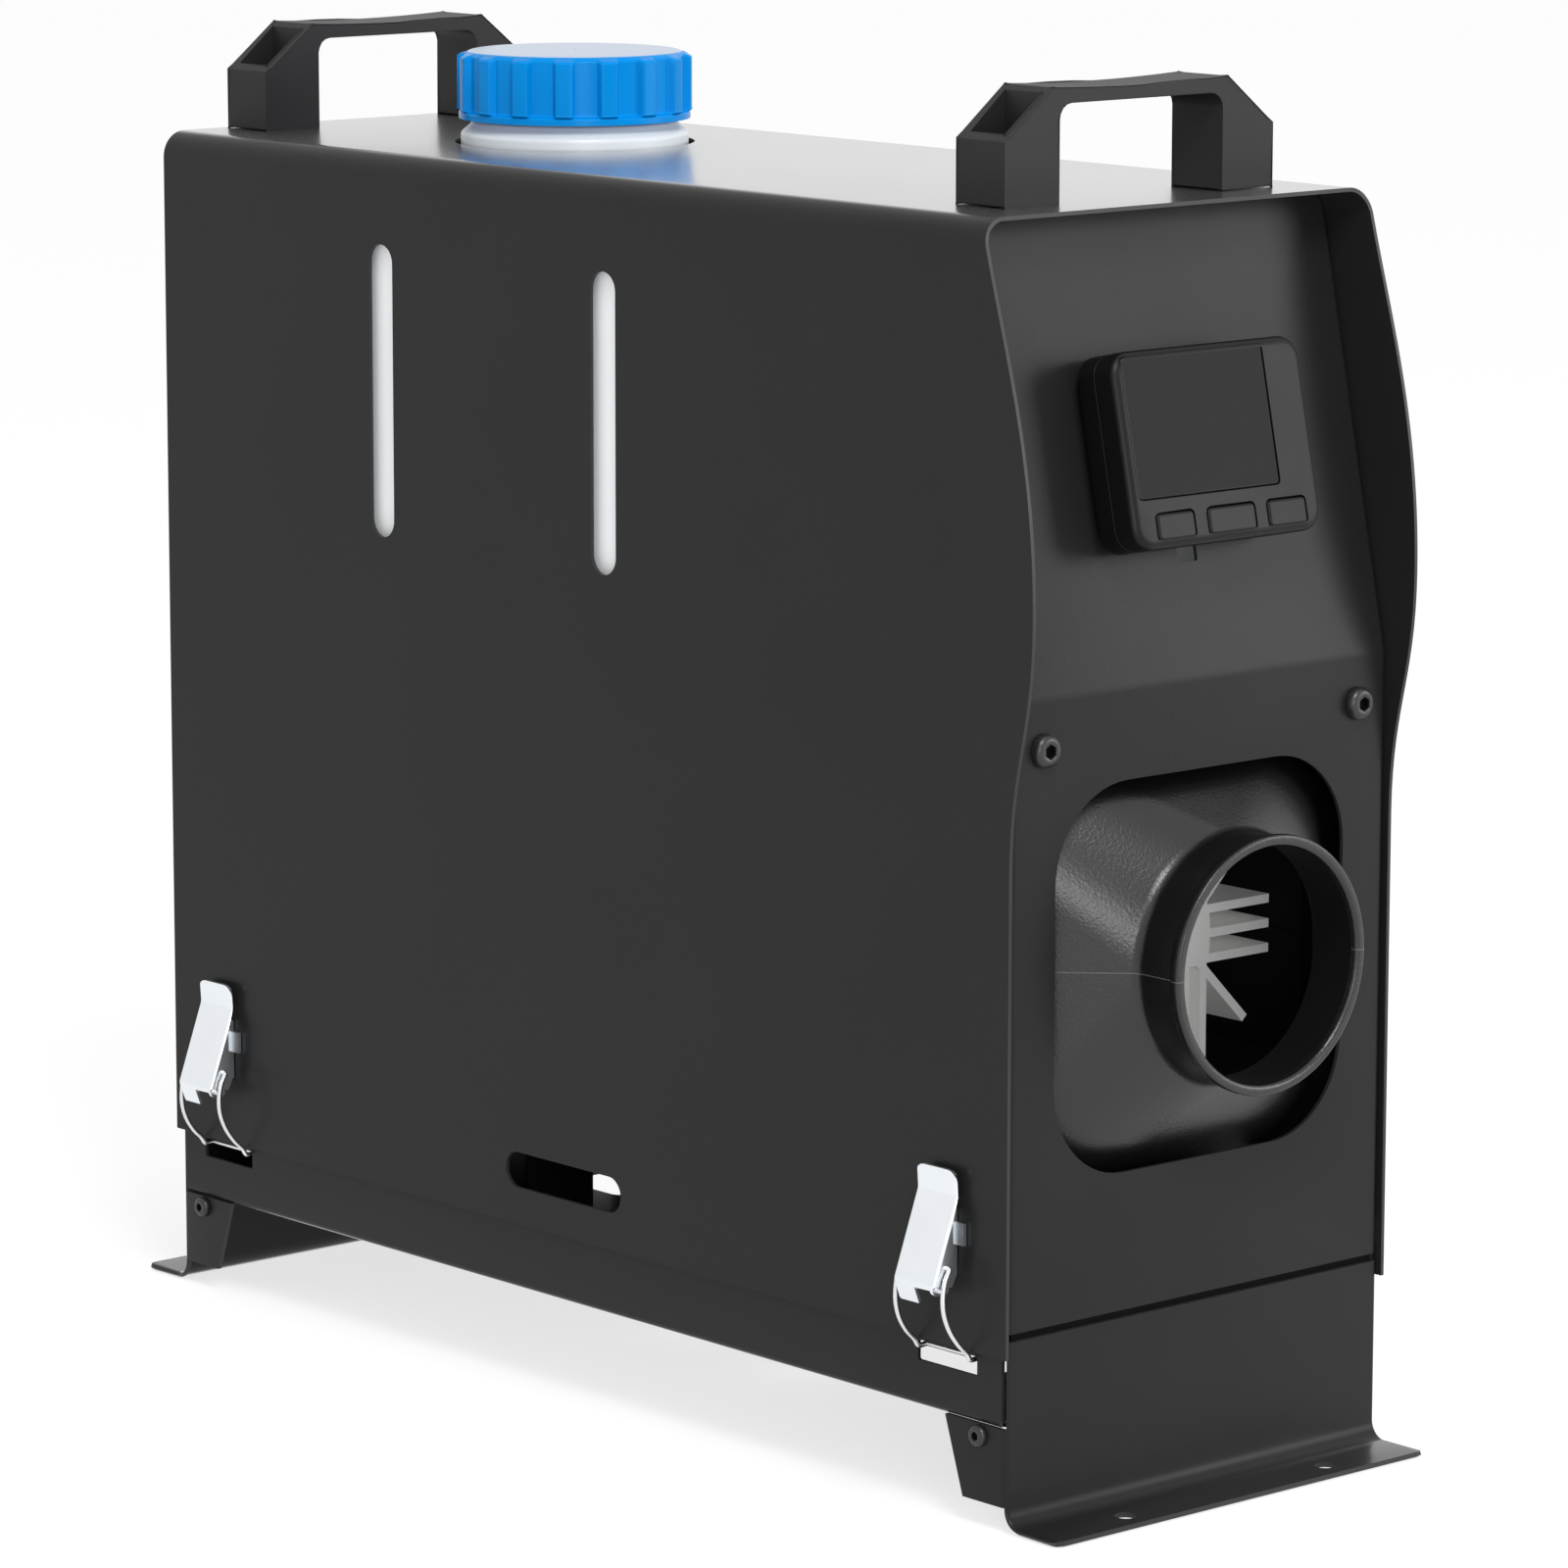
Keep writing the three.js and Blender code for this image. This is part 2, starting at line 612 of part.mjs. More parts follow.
function makeFuelLine() {
  const { y, z } = pumpAxis;
  const side = shellHalf + 6;
  part("fuel_line_tank", wire([
    [spigot.x, spigot.y, spigot.bottom - gap], [spigot.x, spigot.y, spigot.bottom - 3],
    [spigot.x, side - 5, 211], [spigot.x, side, 203], [spigot.x, side, 150], [spigot.x, side, 84],
    [spigot.x - 3, side - 5, 64], [spigot.x - 10, y + 6, 54], [filterEnds.front + 5, y, z],
    [filterEnds.front + gap, y, z],
  ], hoseRadius, 22, 6), rubber());
  const filter = join(
    rodX(10, filterEnds.rear + 8, filterEnds.front - 8, y, z, 24),
    rodX(hoseRadius, filterEnds.rear, filterEnds.front, y, z, 12));
  part("fuel_filter", filter, milkyPlastic());
  part("fuel_line_filter", rodX(hoseRadius + 1, pumpEnds.front + gap, filterEnds.rear - gap, y, z, 12), rubber());
  part("fuel_line_pump", wire([
    [pumpEnds.rear - gap, y, z], [pumpEnds.rear - 6, y, z], [pumpEnds.rear - 15, y - 9, z + 2],
    [pumpEnds.rear - 9, y - 22, z + 5], [-92, y - 29, z + 10], [-60, 16, 66], [-28, fuelInlet.y, 69],
    [fuelInlet.x - 3, fuelInlet.y, 73], [fuelInlet.x, fuelInlet.y, 79],
    [fuelInlet.x, fuelInlet.y, fuelInlet.bottom - gap],
  ], hoseRadius, 24, 6), rubber());
}

function makePump() {
  const { y, z } = pumpAxis;
  const body = join(
    rodX(11.5, pumpEnds.rear + 12, pumpEnds.front - 12, y, z, 28),
    rodX(8, pumpEnds.rear + 6, pumpEnds.front - 6, y, z, 24),
    rodX(hoseRadius, pumpEnds.rear, pumpEnds.front, y, z, 16));
  const chamber = rodX(5.4, pumpEnds.rear + 16, pumpEnds.front - 16, y, z, 20);
  const bore = rodX(1.6, pumpEnds.rear - 1, pumpEnds.front + 1, y, z, 10);
  part("fuel_pump", cut(body, chamber, bore), steel());
  part("pump_plunger", rodX(5, pumpEnds.rear + 16 + gap, pumpEnds.front - 16 - gap - plungerStroke, y, z, 20),
    steel());
  const foot = block(-90, -74, y - 15, y + 15, trayBottom + sheet + gap, z + 15);
  part("pump_mount", cut(foot, rodX(11.5 + gap, -95, -70, y, z, 28)), rubber());
}

// ---------- air heater ----------
// Half of the heater's casing: one loft round the duct, halved at the parting plane.
function casingHalf(upper) {
  const rings = [
    ductRing(shellRear, shellHalf, shellCorner, shellZ, 5),
    ductRing(shellFront, shellHalf, shellCorner, shellZ, 5),
    ductRing(shellFront, shellHalf - shellWall, shellCorner - shellWall, shellZ, 5),
    ductRing(shellRear, shellHalf - shellWall, shellCorner - shellWall, shellZ, 5),
  ];
  const low = upper ? shellZ + gap / 2 : shellZ - shellHalf - 1;
  const high = upper ? shellZ + shellHalf + 1 : shellZ - gap / 2;
  return loft(rings).intersect(
    block(shellRear - 1, shellFront + 1, -shellHalf - 1, shellHalf + 1, low, high));
}

const footBlock = { x0: -14, x1: 40, half: 22 };
const casingBottom = shellZ - shellHalf;

function makeCasing() {
  const lower = cut(casingHalf(false),
    block(footBlock.x0 - 1, footBlock.x1 + 1, -footBlock.half - 1, footBlock.half + 1,
      casingBottom - 1, casingBottom + 5),
    rodZ(intake.radius + 1, casingBottom - 1, casingBottom + 5, intake.x, 0, 24));
  part("lower_casing", lower, blackPlastic());
  part("upper_casing", casingHalf(true), blackPlastic());
}

// The outlet flares from the casing's square section down to the round collar.
function makeOutlet() {
  const start = shellFront + gap;
  const w = nozzleWall;
  const offAxis = shellZ - ductZ;
  const circle = (x, r) => ductRing(x, r, r, ductZ);
  const body = loft([
    ductRing(start, shellHalf, shellCorner, ductZ + offAxis),
    ductRing(start + 5, shellHalf, shellCorner, ductZ + offAxis),
    ductRing(start + 9, shellHalf - 5, shellCorner, ductZ + offAxis * 0.8),
    circle(collarBase, collarRadius),
    circle(nozzleReach - 3.2, collarRadius + 0.3),
    circle(nozzleReach - 2.2, nozzleRadius),
    circle(nozzleReach, nozzleRadius),
    circle(nozzleReach, collarRadius - w),
    circle(collarBase, collarRadius - w),
    ductRing(start + 8, shellHalf - 5 - w, shellCorner - w, ductZ + offAxis * 0.8),
    ductRing(start + 4, shellHalf - w, shellCorner - w, ductZ + offAxis),
    ductRing(start, shellHalf - w, shellCorner - w, ductZ + offAxis),
  ]);
  part("outlet_nozzle", body, blackPlastic());
}

// The inlet grille: a rim that closes the casing's rear end, rings and spokes over the fan.
function makeGrille() {
  const back = -endFace + 0.4;
  const end = shellRear - gap;
  const rim = loft([
    ductRing(back + 4, shellHalf - 6, shellCorner - 4, shellZ, 5),
    ductRing(end, shellHalf, shellCorner, shellZ, 5),
    ductRing(end, shellHalf - shellWall, shellCorner - shellWall, shellZ, 5),
    ductRing(back + 6, shellHalf - 6 - shellWall, shellCorner - 6, shellZ, 5),
  ]);
  let body = rim;
  const plate = alongX(roundedRect(2 * shellHalf - 13, 2 * shellHalf - 13, 25, 0, shellZ), back + 2, back + 5, 3);
  const mouth = rodX(50, back, back + 8, 0, shellZ, 24);
  body = join(body, cut(plate, mouth));
  for (const radius of [12, 22, 32, 42]) {
    body = join(body, cut(rodX(radius + 1, back + 2, back + 5, 0, shellZ, 18),
      rodX(radius - 1, back, back + 8, 0, shellZ, 18)));
  }
  for (let i = 0; i < 4; i++) {
    const spoke = new THREE.BoxGeometry(3, 103, 2.4);
    spoke.rotateX((i * Math.PI) / 4).translate(back + 3.6, 0, shellZ);
    body = join(body, solid(spoke));
  }
  part("inlet_grille", body, blackPlastic());
}

const blower = { rear: -50, front: -27, radius: 36 };
const exchanger = { rear: blower.front + gap, front: 178, tube: 30, bore: 26 };

function makeExchanger() {
  const chamberEnd = 120;
  let body = rodX(exchanger.tube, exchanger.rear, 140, 0, ductZ, 28);
  body = join(body, alongX(roundedRect(40, 18, 5, 0, ductZ), 130, exchanger.front));
  const reach = 44;
  const fin = 2.6;
  for (const offset of [-7.3, 0, 7.3]) {
    body = join(body, block(10, exchanger.front, -reach, reach, ductZ + offset - fin / 2, ductZ + offset + fin / 2));
  }
  for (const offset of [-17.5, -10.5, 10.5, 17.5]) {
    body = join(body, block(10, exchanger.front, offset - fin / 2, offset + fin / 2, ductZ - 42, ductZ + 42));
  }
  for (const [sy, sz] of [[1, 1], [-1, 1], [-1, -1], [1, -1]]) {
    const ray = new THREE.BoxGeometry(exchanger.front - 10, 30, fin);
    ray.translate((exchanger.front + 10) / 2, 24, 0).rotateX(Math.atan2(sz, sy));
    body = join(body, solid(ray.translate(0, sy * 7, ductZ - sz * 0.5)));
  }
  const foot = block(footBlock.x0, footBlock.x1, -footBlock.half, footBlock.half, casingBottom, ductZ - 20);
  const stub = rodZ(exhaust.radius, exhaust.bottom, casingBottom + 1, exhaust.x, 0, 24);
  const nipple = rodZ(2.5, fuelInlet.bottom, casingBottom + 1, fuelInlet.x, fuelInlet.y, 12);
  body = cut(join(body, foot, stub, nipple),
    rodX(exchanger.bore, exchanger.rear - 1, chamberEnd, 0, ductZ, 28),
    rodZ(exhaust.radius - 2, exhaust.bottom - 1, ductZ - 20, exhaust.x, 0, 24));
  part("heat_exchanger", body, aluminium());
}

function makeBurner() {
  const tube = cut(rodX(exchanger.bore - gap, exchanger.rear + 6, 60, 0, ductZ, 24),
    rodX(exchanger.bore - gap - 1.6, exchanger.rear + 10, 61, 0, ductZ, 24));
  part("burner_tube", tube, steel());
  const plug = join(
    rodZ(4, ductZ + exchanger.tube - 0.6 + gap + 1, ductZ + 47, -5, 0, 20),
    rodZ(6, ductZ + exchanger.tube + 3, ductZ + exchanger.tube + 9, -5, 0, 6));
  part("glow_plug", plug, steel());
}

const motor = { rear: -112, front: blower.rear - gap, radius: 27 };
const shaftRadius = 4;

function makeBlower() {
  const disc = rodX(blower.radius, blower.rear, blower.front, 0, ductZ, 28);
  const stub = rodZ(intake.radius, intake.bottom, ductZ - 20, intake.x, 0, 24);
  const volute = rodX(26, blower.rear + 4, blower.front - 4, 0, ductZ, 24);
  const inlet = rodZ(intake.radius - 2, intake.bottom - 1, ductZ - 10, intake.x, 0, 24);
  const bore = rodX(shaftRadius + gap, blower.rear - 1, blower.rear + 6, 0, ductZ, 20);
  const outlet = rodX(9, blower.front - 6, blower.front + 1, 0, ductZ, 24);
  part("blower_housing", cut(join(disc, stub), volute, inlet, bore, outlet), aluminium());
  const can = cut(rodX(motor.radius, motor.rear, motor.front, 0, ductZ, 24),
    rodX(shaftRadius + gap, motor.rear - 1, motor.front + 1, 0, ductZ, 20));
  part("blower_motor", can, steel());
}

// The rotor: shaft, main fan behind the motor and the small combustion-air impeller in the housing.
function makeRotor() {
  part("motor_shaft", rodX(shaftRadius, -160, blower.front - 7, 0, ductZ, 20), steel());
  const fanRear = -158;
  const hub = cut(rodX(17, fanRear, motor.rear - 4, 0, ductZ, 24),
    rodX(shaftRadius + gap, fanRear - 1, motor.rear, 0, ductZ, 20));
  let fan = hub;
  const blades = 9;
  for (let i = 0; i < blades; i++) {
    const blade = new THREE.BoxGeometry(26, 36, 1.8);
    blade.rotateY(THREE.MathUtils.degToRad(38)).translate(-138, 33, 0);
    blade.rotateX((i / blades) * 2 * Math.PI);
    fan = join(fan, solid(blade.translate(0, 0, ductZ)));
  }
  part("fan_wheel", fan, blackPlastic());
  const wheelRear = blower.rear + 4.6;
  let wheel = rodX(23, wheelRear, wheelRear + 2, 0, ductZ, 24);
  for (let i = 0; i < 10; i++) {
    const vane = new THREE.BoxGeometry(7, 13, 1.4);
    vane.translate(wheelRear + 4, 15.5, 0).rotateX((i / 10) * 2 * Math.PI);
    wheel = join(wheel, solid(vane.translate(0, 0, ductZ)));
  }
  wheel = cut(wheel, rodX(shaftRadius + gap, wheelRear - 1, wheelRear + 9, 0, ductZ, 20));
  part("combustion_impeller", wheel, aluminium());
}

function makeControlUnit() {
  const top = shellZ + shellHalf - shellWall - 3 * gap;
  let body = block(-108, -54, -30, 30, motor.radius + ductZ + gap, top);
  body = cut(body, ...[-20, 0, 20].map((y) => block(-104, -58, y - 4, y + 4, top - 3, top + 1)));
  part("control_unit", body, blackPlastic());
}

// A bridge of sheet carries the heater's foot above the tray floor.
function makeBracket() {
  const top = casingBottom - gap;
  const floor = trayBottom + sheet + gap;
  const rear = -62;
  const front = 52;
  const left = -40;
  const right = 32;
  let body = block(rear, front, left, right, top - sheet, top);
  body = join(body,
    block(rear, rear + sheet, left, right, floor, top), block(front - sheet, front, left, right, floor, top),
    block(rear - 8, rear + sheet, left, right, floor, floor + sheet),
    block(front - sheet, front + 8, left, right, floor, floor + sheet));
  body = cut(body,
    block(rear - 1, rear + 3, -14, 25, floor + 4, top - 8),
    rodZ(exhaust.radius + 2, top - 3, top + 1, exhaust.x, 0, 24),
    rodZ(intake.radius + 2, top - 3, top + 1, intake.x, 0, 24),
    rodZ(5, top - 3, top + 1, fuelInlet.x, fuelInlet.y, 16));
  part("heater_bracket", body, blackPaint());
}

// ---------- controller ----------
const button = { height: 7.6, z: -22, travel: 0.8, proud: 0.4 };
const buttons = [["button_down", -21, 14.5], ["button_power", 1, 18.5], ["button_up", 23, 15]];
const screen = { width: 56, height: 40.5, y: -6, z: 6.2 };
const board = { front: 9.6, thickness: 1.6 };

// Local frame on the leaning panel: X out of the panel, Z up along it.
function makeController() {
  const place = new THREE.Group();
  place.position.set(endFace - (controlZ - panelBend) * Math.tan(lean), 0, controlZ);
  place.rotation.y = -lean;
  root.add(place);
  const wall = 2;
  const outline = (inset) => roundedRect(controlWidth - 2 * inset, controlHeight - 2 * inset, 7 - inset / 2);
  const back = cut(
    join(alongX(outline(3.5), gap, 4), alongX(outline(0), 3.5, controlSplit - gap / 2)),
    alongX(outline(wall), 4 + wall, controlSplit + 1));
  const posts = [[-30, 18], [30, 18], [-30, -20], [30, -20]];
  let backShell = back;
  for (const [y, z] of posts) {
    backShell = join(backShell, rodX(2.4, 5, board.front - board.thickness - gap, y, z, 12));
  }
  part("controller_back", backShell, blackPlastic(), place);
  let frontShell = join(alongX(outline(0), controlSplit + gap / 2, controlDepth - 1.5),
    alongX(outline(1.4), controlDepth - 2, controlDepth));
  frontShell = cut(frontShell, alongX(outline(wall), controlSplit - 1, controlDepth - wall));
  const recess = roundedRect(screen.width, screen.height, 1.5, screen.y, screen.z);
  frontShell = cut(frontShell, alongX(recess, controlDepth - 1, controlDepth + 1));
  for (const [, y, width] of buttons) {
    const hole = roundedRect(width, button.height, 1.6, y, button.z);
    frontShell = cut(frontShell, alongX(hole, controlDepth - 5, controlDepth + 1, 3));
  }
  part("controller_front", frontShell, blackPlastic(), place);
  const pane = roundedRect(screen.width - 2 * gap, screen.height - 2 * gap, 1.3, screen.y, screen.z);
  part("lcd_window", alongX(pane, controlDepth - 1 + gap, controlDepth), smokedGlass(), place);
  part("controller_board",
    alongX(roundedRect(controlWidth - 7, controlHeight - 7, 3), board.front - board.thickness, board.front),
    finish(0x1f5b34, 0.5, 0.1), place);
  for (const [name, y, width] of buttons) {
    const cap = roundedRect(width - 2 * gap, button.height - 2 * gap, 1.3, y, button.z);
    const skirt = roundedRect(width + 3, button.height - 2 * gap, 1.3, y, button.z);
    const body = join(
      alongX(cap, controlDepth - 4, controlDepth + button.proud, 3),
      alongX(skirt, controlDepth - wall - gap - 1.4, controlDepth - wall - gap, 3),
      rodX(1.6, board.front + button.travel + gap, controlDepth - 3, y, button.z, 10));
    part(name, body, blackPlastic(), place);
  }
}

// ---------- latches ----------
// Local frame of a latch: X along the case, +Y into the case from the cover's face, Z = 0 at the lever's pin.
function latchBase() {
  const ear = new THREE.Shape();
  ear.moveTo(-gap, 4.4);
  ear.lineTo(-gap, 20);
  ear.lineTo(-2.2, 20);
  ear.lineTo(-latchStand - 2.3, 1.4);
  ear.absarc(-latchStand, 0, 2.3, 2.6, 5.2);
  const ears = [-5.8, 4.6].map((x) => alongX(ear, x, x + 1.2, 3));
  const plate = join(
    block(-5.8, 5.8, -1.5, -gap, 3.2, 22),
    block(-9.6, 9.6, -1.5, -gap, 12, 18.5));
  return join(plate, ...ears, rodX(1.3, -8.7, 8.7, -latchStand, 0, 12));
}

function latchLever() {
  const half = latchWidth / 2;
  const skin = 1;
  const bend = [-2.9, 26.4];
  const foot = [-12, 1.2];
  const plate = polygon([
    [-3.4, 33.6], bend, foot, [foot[0] + skin * 0.95, foot[1] + 0.35],
    [bend[0] + skin, bend[1] + 0.2], [-3.4 + skin, 33.6],
  ]);
  const tongue = polygon([
    [foot[0], foot[1] + 1], foot, [-9.9, -4.9], [-8.9, -4.7], [foot[0] + skin, foot[1] + 0.6],
    [foot[0] + skin, foot[1] + 1],
  ]);
  const cheek = polygon([
    [bend[0] + 0.4, bend[1] - 1.4], [foot[0] + 0.4, foot[1] + 0.2], [-11, -0.4], [-4.3, -1.8],
    [-2.2, bend[1] - 3],
  ]);
  let body = alongX(plate, -half, half);
  body = join(body, alongX(tongue, -half, 0.2));
  for (const x of [-half, half - skin]) {
    const holed = cut(alongX(cheek, x, x + skin),
      rodX(1.3 + gap, x - 1, x + 2, -latchStand, 0, 12),
      rodX(bailRadius + gap, x - 1, x + 2, -bailHole.stand, bailHole.rise, 10));
    body = join(body, holed);
  }
  return body;
}

// The bail: a sprung wire loop from hole to hole of the lever, hooked under the window's upper edge.
function latchBail() {
  const legX = latchWidth / 2 + 1.2;
  const endX = latchWidth / 2 - 1.8;
  const footX = 10.9;
  const barZ = window.high - latchPivot - 1.3;
  const barY = coverFace - trayInside + bailRadius + 0.4;
  const side = (s) => [
    [s * endX, -bailHole.stand, bailHole.rise], [s * (legX - 0.5), -bailHole.stand, bailHole.rise],
    [s * legX, -bailHole.stand - 0.2, bailHole.rise - 0.6], [s * legX, -8.2, 3.2], [s * legX, -8.7, -1],
    [s * (legX + 0.3), -8.2, -6], [s * (legX + 0.6), -5.8, -11.2], [s * footX, -3, -15.4],
    [s * footX, -1.25, -18.8], [s * footX, 0.4, barZ], [s * footX, barY - 0.8, barZ],
    [s * (footX - 0.8), barY, barZ],
  ];
  return wire([...side(-1), [0, barY, barZ], ...side(1).reverse()], bailRadius, 34, 6);
}

function makeLatches() {
  const places = { front_left: [1, 1], front_right: [1, -1], rear_left: [-1, 1], rear_right: [-1, -1] };
  for (const [name, [alongCase, side]] of Object.entries(places)) {
    const place = new THREE.Group();
    place.position.set(alongCase * latchX, side * coverFace, latchPivot);
    place.rotation.z = side > 0 ? Math.PI : 0;
    root.add(place);
    part("latch_base_" + name, latchBase(), zinc(), place);
    part("latch_lever_" + name, latchLever(), zinc(), place);
    part("latch_bail_" + name, latchBail(), steel(), place);
  }
}

makeCover();
makeTray();
makeFeet();
makeFrontPanel();
makeRearPanel();
makeGrommet();
makeShelf();
makePanelScrews();
makeFootScrews();
makeHandles();
makeTank();
makeNeckRing();
makeCap();
makeCapSeal();
makeFuelLine();
makePump();
makeCasing();
makeOutlet();
makeGrille();
makeExchanger();
makeBurner();
makeBlower();
makeRotor();
makeControlUnit();
makeBracket();
makeController();
makeLatches();

export default root;
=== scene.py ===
# Diesel air heater: the looks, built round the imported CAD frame. Metres, +Z up, warm air leaves at +X.
# Sizes in the dictionaries are millimetres, measured from the middle of the case.
import json
import math

import bpy
import numpy as np
from mathutils import Matrix, Vector
from mathutils.geometry import delaunay_2d_cdt


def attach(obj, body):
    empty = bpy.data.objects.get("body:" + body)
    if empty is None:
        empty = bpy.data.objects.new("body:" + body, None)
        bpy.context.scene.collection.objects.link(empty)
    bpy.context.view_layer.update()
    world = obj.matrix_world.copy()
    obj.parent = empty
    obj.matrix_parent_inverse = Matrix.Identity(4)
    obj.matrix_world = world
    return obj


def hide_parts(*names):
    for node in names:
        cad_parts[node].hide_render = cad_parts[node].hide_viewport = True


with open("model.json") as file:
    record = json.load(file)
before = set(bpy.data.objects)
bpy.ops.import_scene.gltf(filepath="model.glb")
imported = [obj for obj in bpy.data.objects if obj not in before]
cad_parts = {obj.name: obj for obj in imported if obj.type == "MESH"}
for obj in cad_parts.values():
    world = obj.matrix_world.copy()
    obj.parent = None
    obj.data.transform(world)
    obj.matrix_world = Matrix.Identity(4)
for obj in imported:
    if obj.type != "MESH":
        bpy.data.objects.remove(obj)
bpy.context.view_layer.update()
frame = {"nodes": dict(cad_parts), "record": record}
frameShift = (-4.0, 0.0, 0.0)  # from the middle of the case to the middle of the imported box
millimetre = 0.001
edgeAngles = {"bevelOver": 35, "sharpOver": 50}  # degrees
ends, sides = {"front": 1, "rear": -1}, {"left": 1, "right": -1}  # signs of X and Y


# Case millimetres to the frame's metres: shifted along X, then scaled.
def place(points):
    return (np.asarray(points, float) + frameShift) * millimetre


# A new object in the scene.
def addObject(name, data):
    made = bpy.data.objects.new(name, data)
    bpy.context.scene.collection.objects.link(made)
    return made


# One finished piece: its mesh, its sheet thickness, its rounded edges and its place in the frame.
# A piece without a bevel keeps steep edges sharp and lets its large faces set the shading.
def build(name, points, faces, materials, body="case", stands=(), sheet=0.0, edge=0.0,
          steps=2, slots=None, flip=False):
    data = bpy.data.meshes.new(name)
    loops = [list(face)[::-1] if flip else list(face) for face in faces]
    data.from_pydata(place(points).tolist(), [], loops)
    for material in materials:
        data.materials.append(material)
    data.polygons.foreach_set("use_smooth", np.ones(len(data.polygons), bool))
    if slots is not None:
        data.polygons.foreach_set("material_index", np.asarray(slots, np.int32))
    data.update()
    made = addObject(name, data)
    if sheet:
        solid = made.modifiers.new("sheet", "SOLIDIFY")
        solid.thickness = sheet * millimetre
        solid.offset = -1
        # The rim of a sheet takes the second material, the lighter edge coat, partly wear and partly a
        # painted highlight.
        solid.material_offset_rim = 1 if len(materials) > 1 else 0
    if edge:
        bevel = made.modifiers.new("edge", "BEVEL")
        bevel.width = edge * millimetre
        bevel.segments = steps
        bevel.limit_method = "ANGLE"
        bevel.angle_limit = math.radians(edgeAngles["bevelOver"])
        bevel.harden_normals = True
        bevel.use_clamp_overlap = True
    else:
        data.set_sharp_from_angle(angle=math.radians(edgeAngles["sharpOver"]))
        weighted = made.modifiers.new("flat faces", "WEIGHTED_NORMAL")
        weighted.keep_sharp = True
    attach(made, body)
    if stands:
        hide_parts(*stands)


# Four-cornered faces between rings that close round: point c of ring r is number r * columns + c.
def gridFaces(rows, columns, start=0):
    r, c = np.meshgrid(np.arange(rows - 1), np.arange(columns), indexing="ij")
    after = (c + 1) % columns
    row, nextRow = r * columns, (r + 1) * columns
    quads = np.stack([row + c, row + after, nextRow + after, nextRow + c], -1)
    return (quads.reshape(-1, 4) + start).tolist()


# Loop on a square with round corners: each corner is its centre plus radius times (cos, sin).
def roundedSquare(count, half, corner):
    corner = min(corner, half)
    turn = np.linspace(0, np.pi / 2, count // 4)
    quarter = half - corner + corner * np.stack([np.cos(turn), np.sin(turn)], -1)
    mirrored = quarter[::-1]
    return np.vstack([quarter, mirrored * (-1, 1), quarter * (-1, -1), mirrored * (1, -1)])


# An open line whose inner corners become curves: (1-t)^2 first + 2t(1-t) corner + t^2 last. A curve
# takes less than half of the shorter side, so that two never meet.
def smoothCorners(points, radius, steps=4):
    points = np.asarray(points, float)
    out = [points[:1]]
    t = np.linspace(0, 1, steps + 1)[:, None]
    for before, corner, after in zip(points[:-2], points[1:-1], points[2:]):
        a, b = before - corner, after - corner
        reach = min(radius, 0.45 * np.linalg.norm(a), 0.45 * np.linalg.norm(b))
        first = corner + a / np.linalg.norm(a) * reach
        last = corner + b / np.linalg.norm(b) * reach
        out.append((1 - t) ** 2 * first + 2 * t * (1 - t) * corner + t ** 2 * last)
    return np.vstack(out + [points[-1:]])


# Rings about +Z: x = radius cos(angle), y = radius sin(angle), z = height.
# ribs(angle, radius, height) gives what is added to the radius.
def revolve(profile, count, ribs=None):
    turn = np.linspace(0, 2 * np.pi, count, endpoint=False)
    radius, height = np.asarray(profile, float).T
    r = np.repeat(radius[:, None], count, 1)
    if ribs is not None:
        r = r + ribs(turn[None, :], radius[:, None], height[:, None])
    return np.stack([r * np.cos(turn), r * np.sin(turn), np.repeat(height[:, None], count, 1)], -1)


# Faces through a stack of rings, with a face over each open end.
def closedRings(rings):
    rows, columns = rings.shape[:2]
    faces = gridFaces(rows, columns)
    faces.append(list(range(columns))[::-1])
    faces.append(list(range((rows - 1) * columns, rows * columns)))
    return faces


# Faces through rings whose last one joins the first, as a tube with a wall has.
def roundTrip(rings):
    rows, columns = rings.shape[:2]
    return (np.array(gridFaces(rows + 1, columns)) % (rows * columns)).tolist()


# Points at the same micrometre become one, and the faces follow.
def merged(points, faces):
    _, first, where = np.unique(np.round(points * 1000).astype(int), axis=0, return_index=True,
                                return_inverse=True)
    where = where.ravel()
    return points[first], [where[list(face)].tolist() for face in faces]


# A loop from its right half, which runs upwards.
def bothHalves(right):
    return np.vstack([right, (right * (-1, 1))[::-1]])


# Even-odd test: a point is inside a loop if the line from it towards +X crosses the loop an odd
# number of times.
def inside(points, loop):
    a, b = loop, np.roll(loop, -1, axis=0)
    x, y = points[:, :1], points[:, 1:2]
    crosses = (a[:, 1] > y) != (b[:, 1] > y)
    rise = np.where(b[:, 1] == a[:, 1], 1, b[:, 1] - a[:, 1])
    return (crosses & (x < a[:, 0] + (y - a[:, 1]) * (b[:, 0] - a[:, 0]) / rise)).sum(1) % 2 == 1


# A flat sheet in triangles: inside the outline, outside the holes, with an edge along each fold.
def cutSheet(outline, holes=(), folds=()):
    loops = [np.asarray(loop, float) for loop in (outline, *holes)]
    lines = [np.asarray(fold, float) for fold in folds]
    edges, start = [], 0
    for loop in loops:
        ids = start + np.arange(len(loop))
        edges += np.stack([ids, np.roll(ids, -1)], -1).tolist()
        start += len(loop)
    edges += [[start + 2 * i, start + 2 * i + 1] for i in range(len(lines))]
    points = np.vstack(loops + lines)
    flat, _, triangles, *_ = delaunay_2d_cdt([Vector(p) for p in points], edges, [], 0, 1e-4)
    flat = np.array([point[:] for point in flat])
    triangles = np.array(triangles)
    middle = flat[triangles].mean(1)
    kept = inside(middle, loops[0])
    for hole in loops[1:]:
        kept &= ~inside(middle, hole)
    triangles = triangles[kept]
    used, where = np.unique(triangles, return_inverse=True)
    return flat[used], where.reshape(-1, 3)


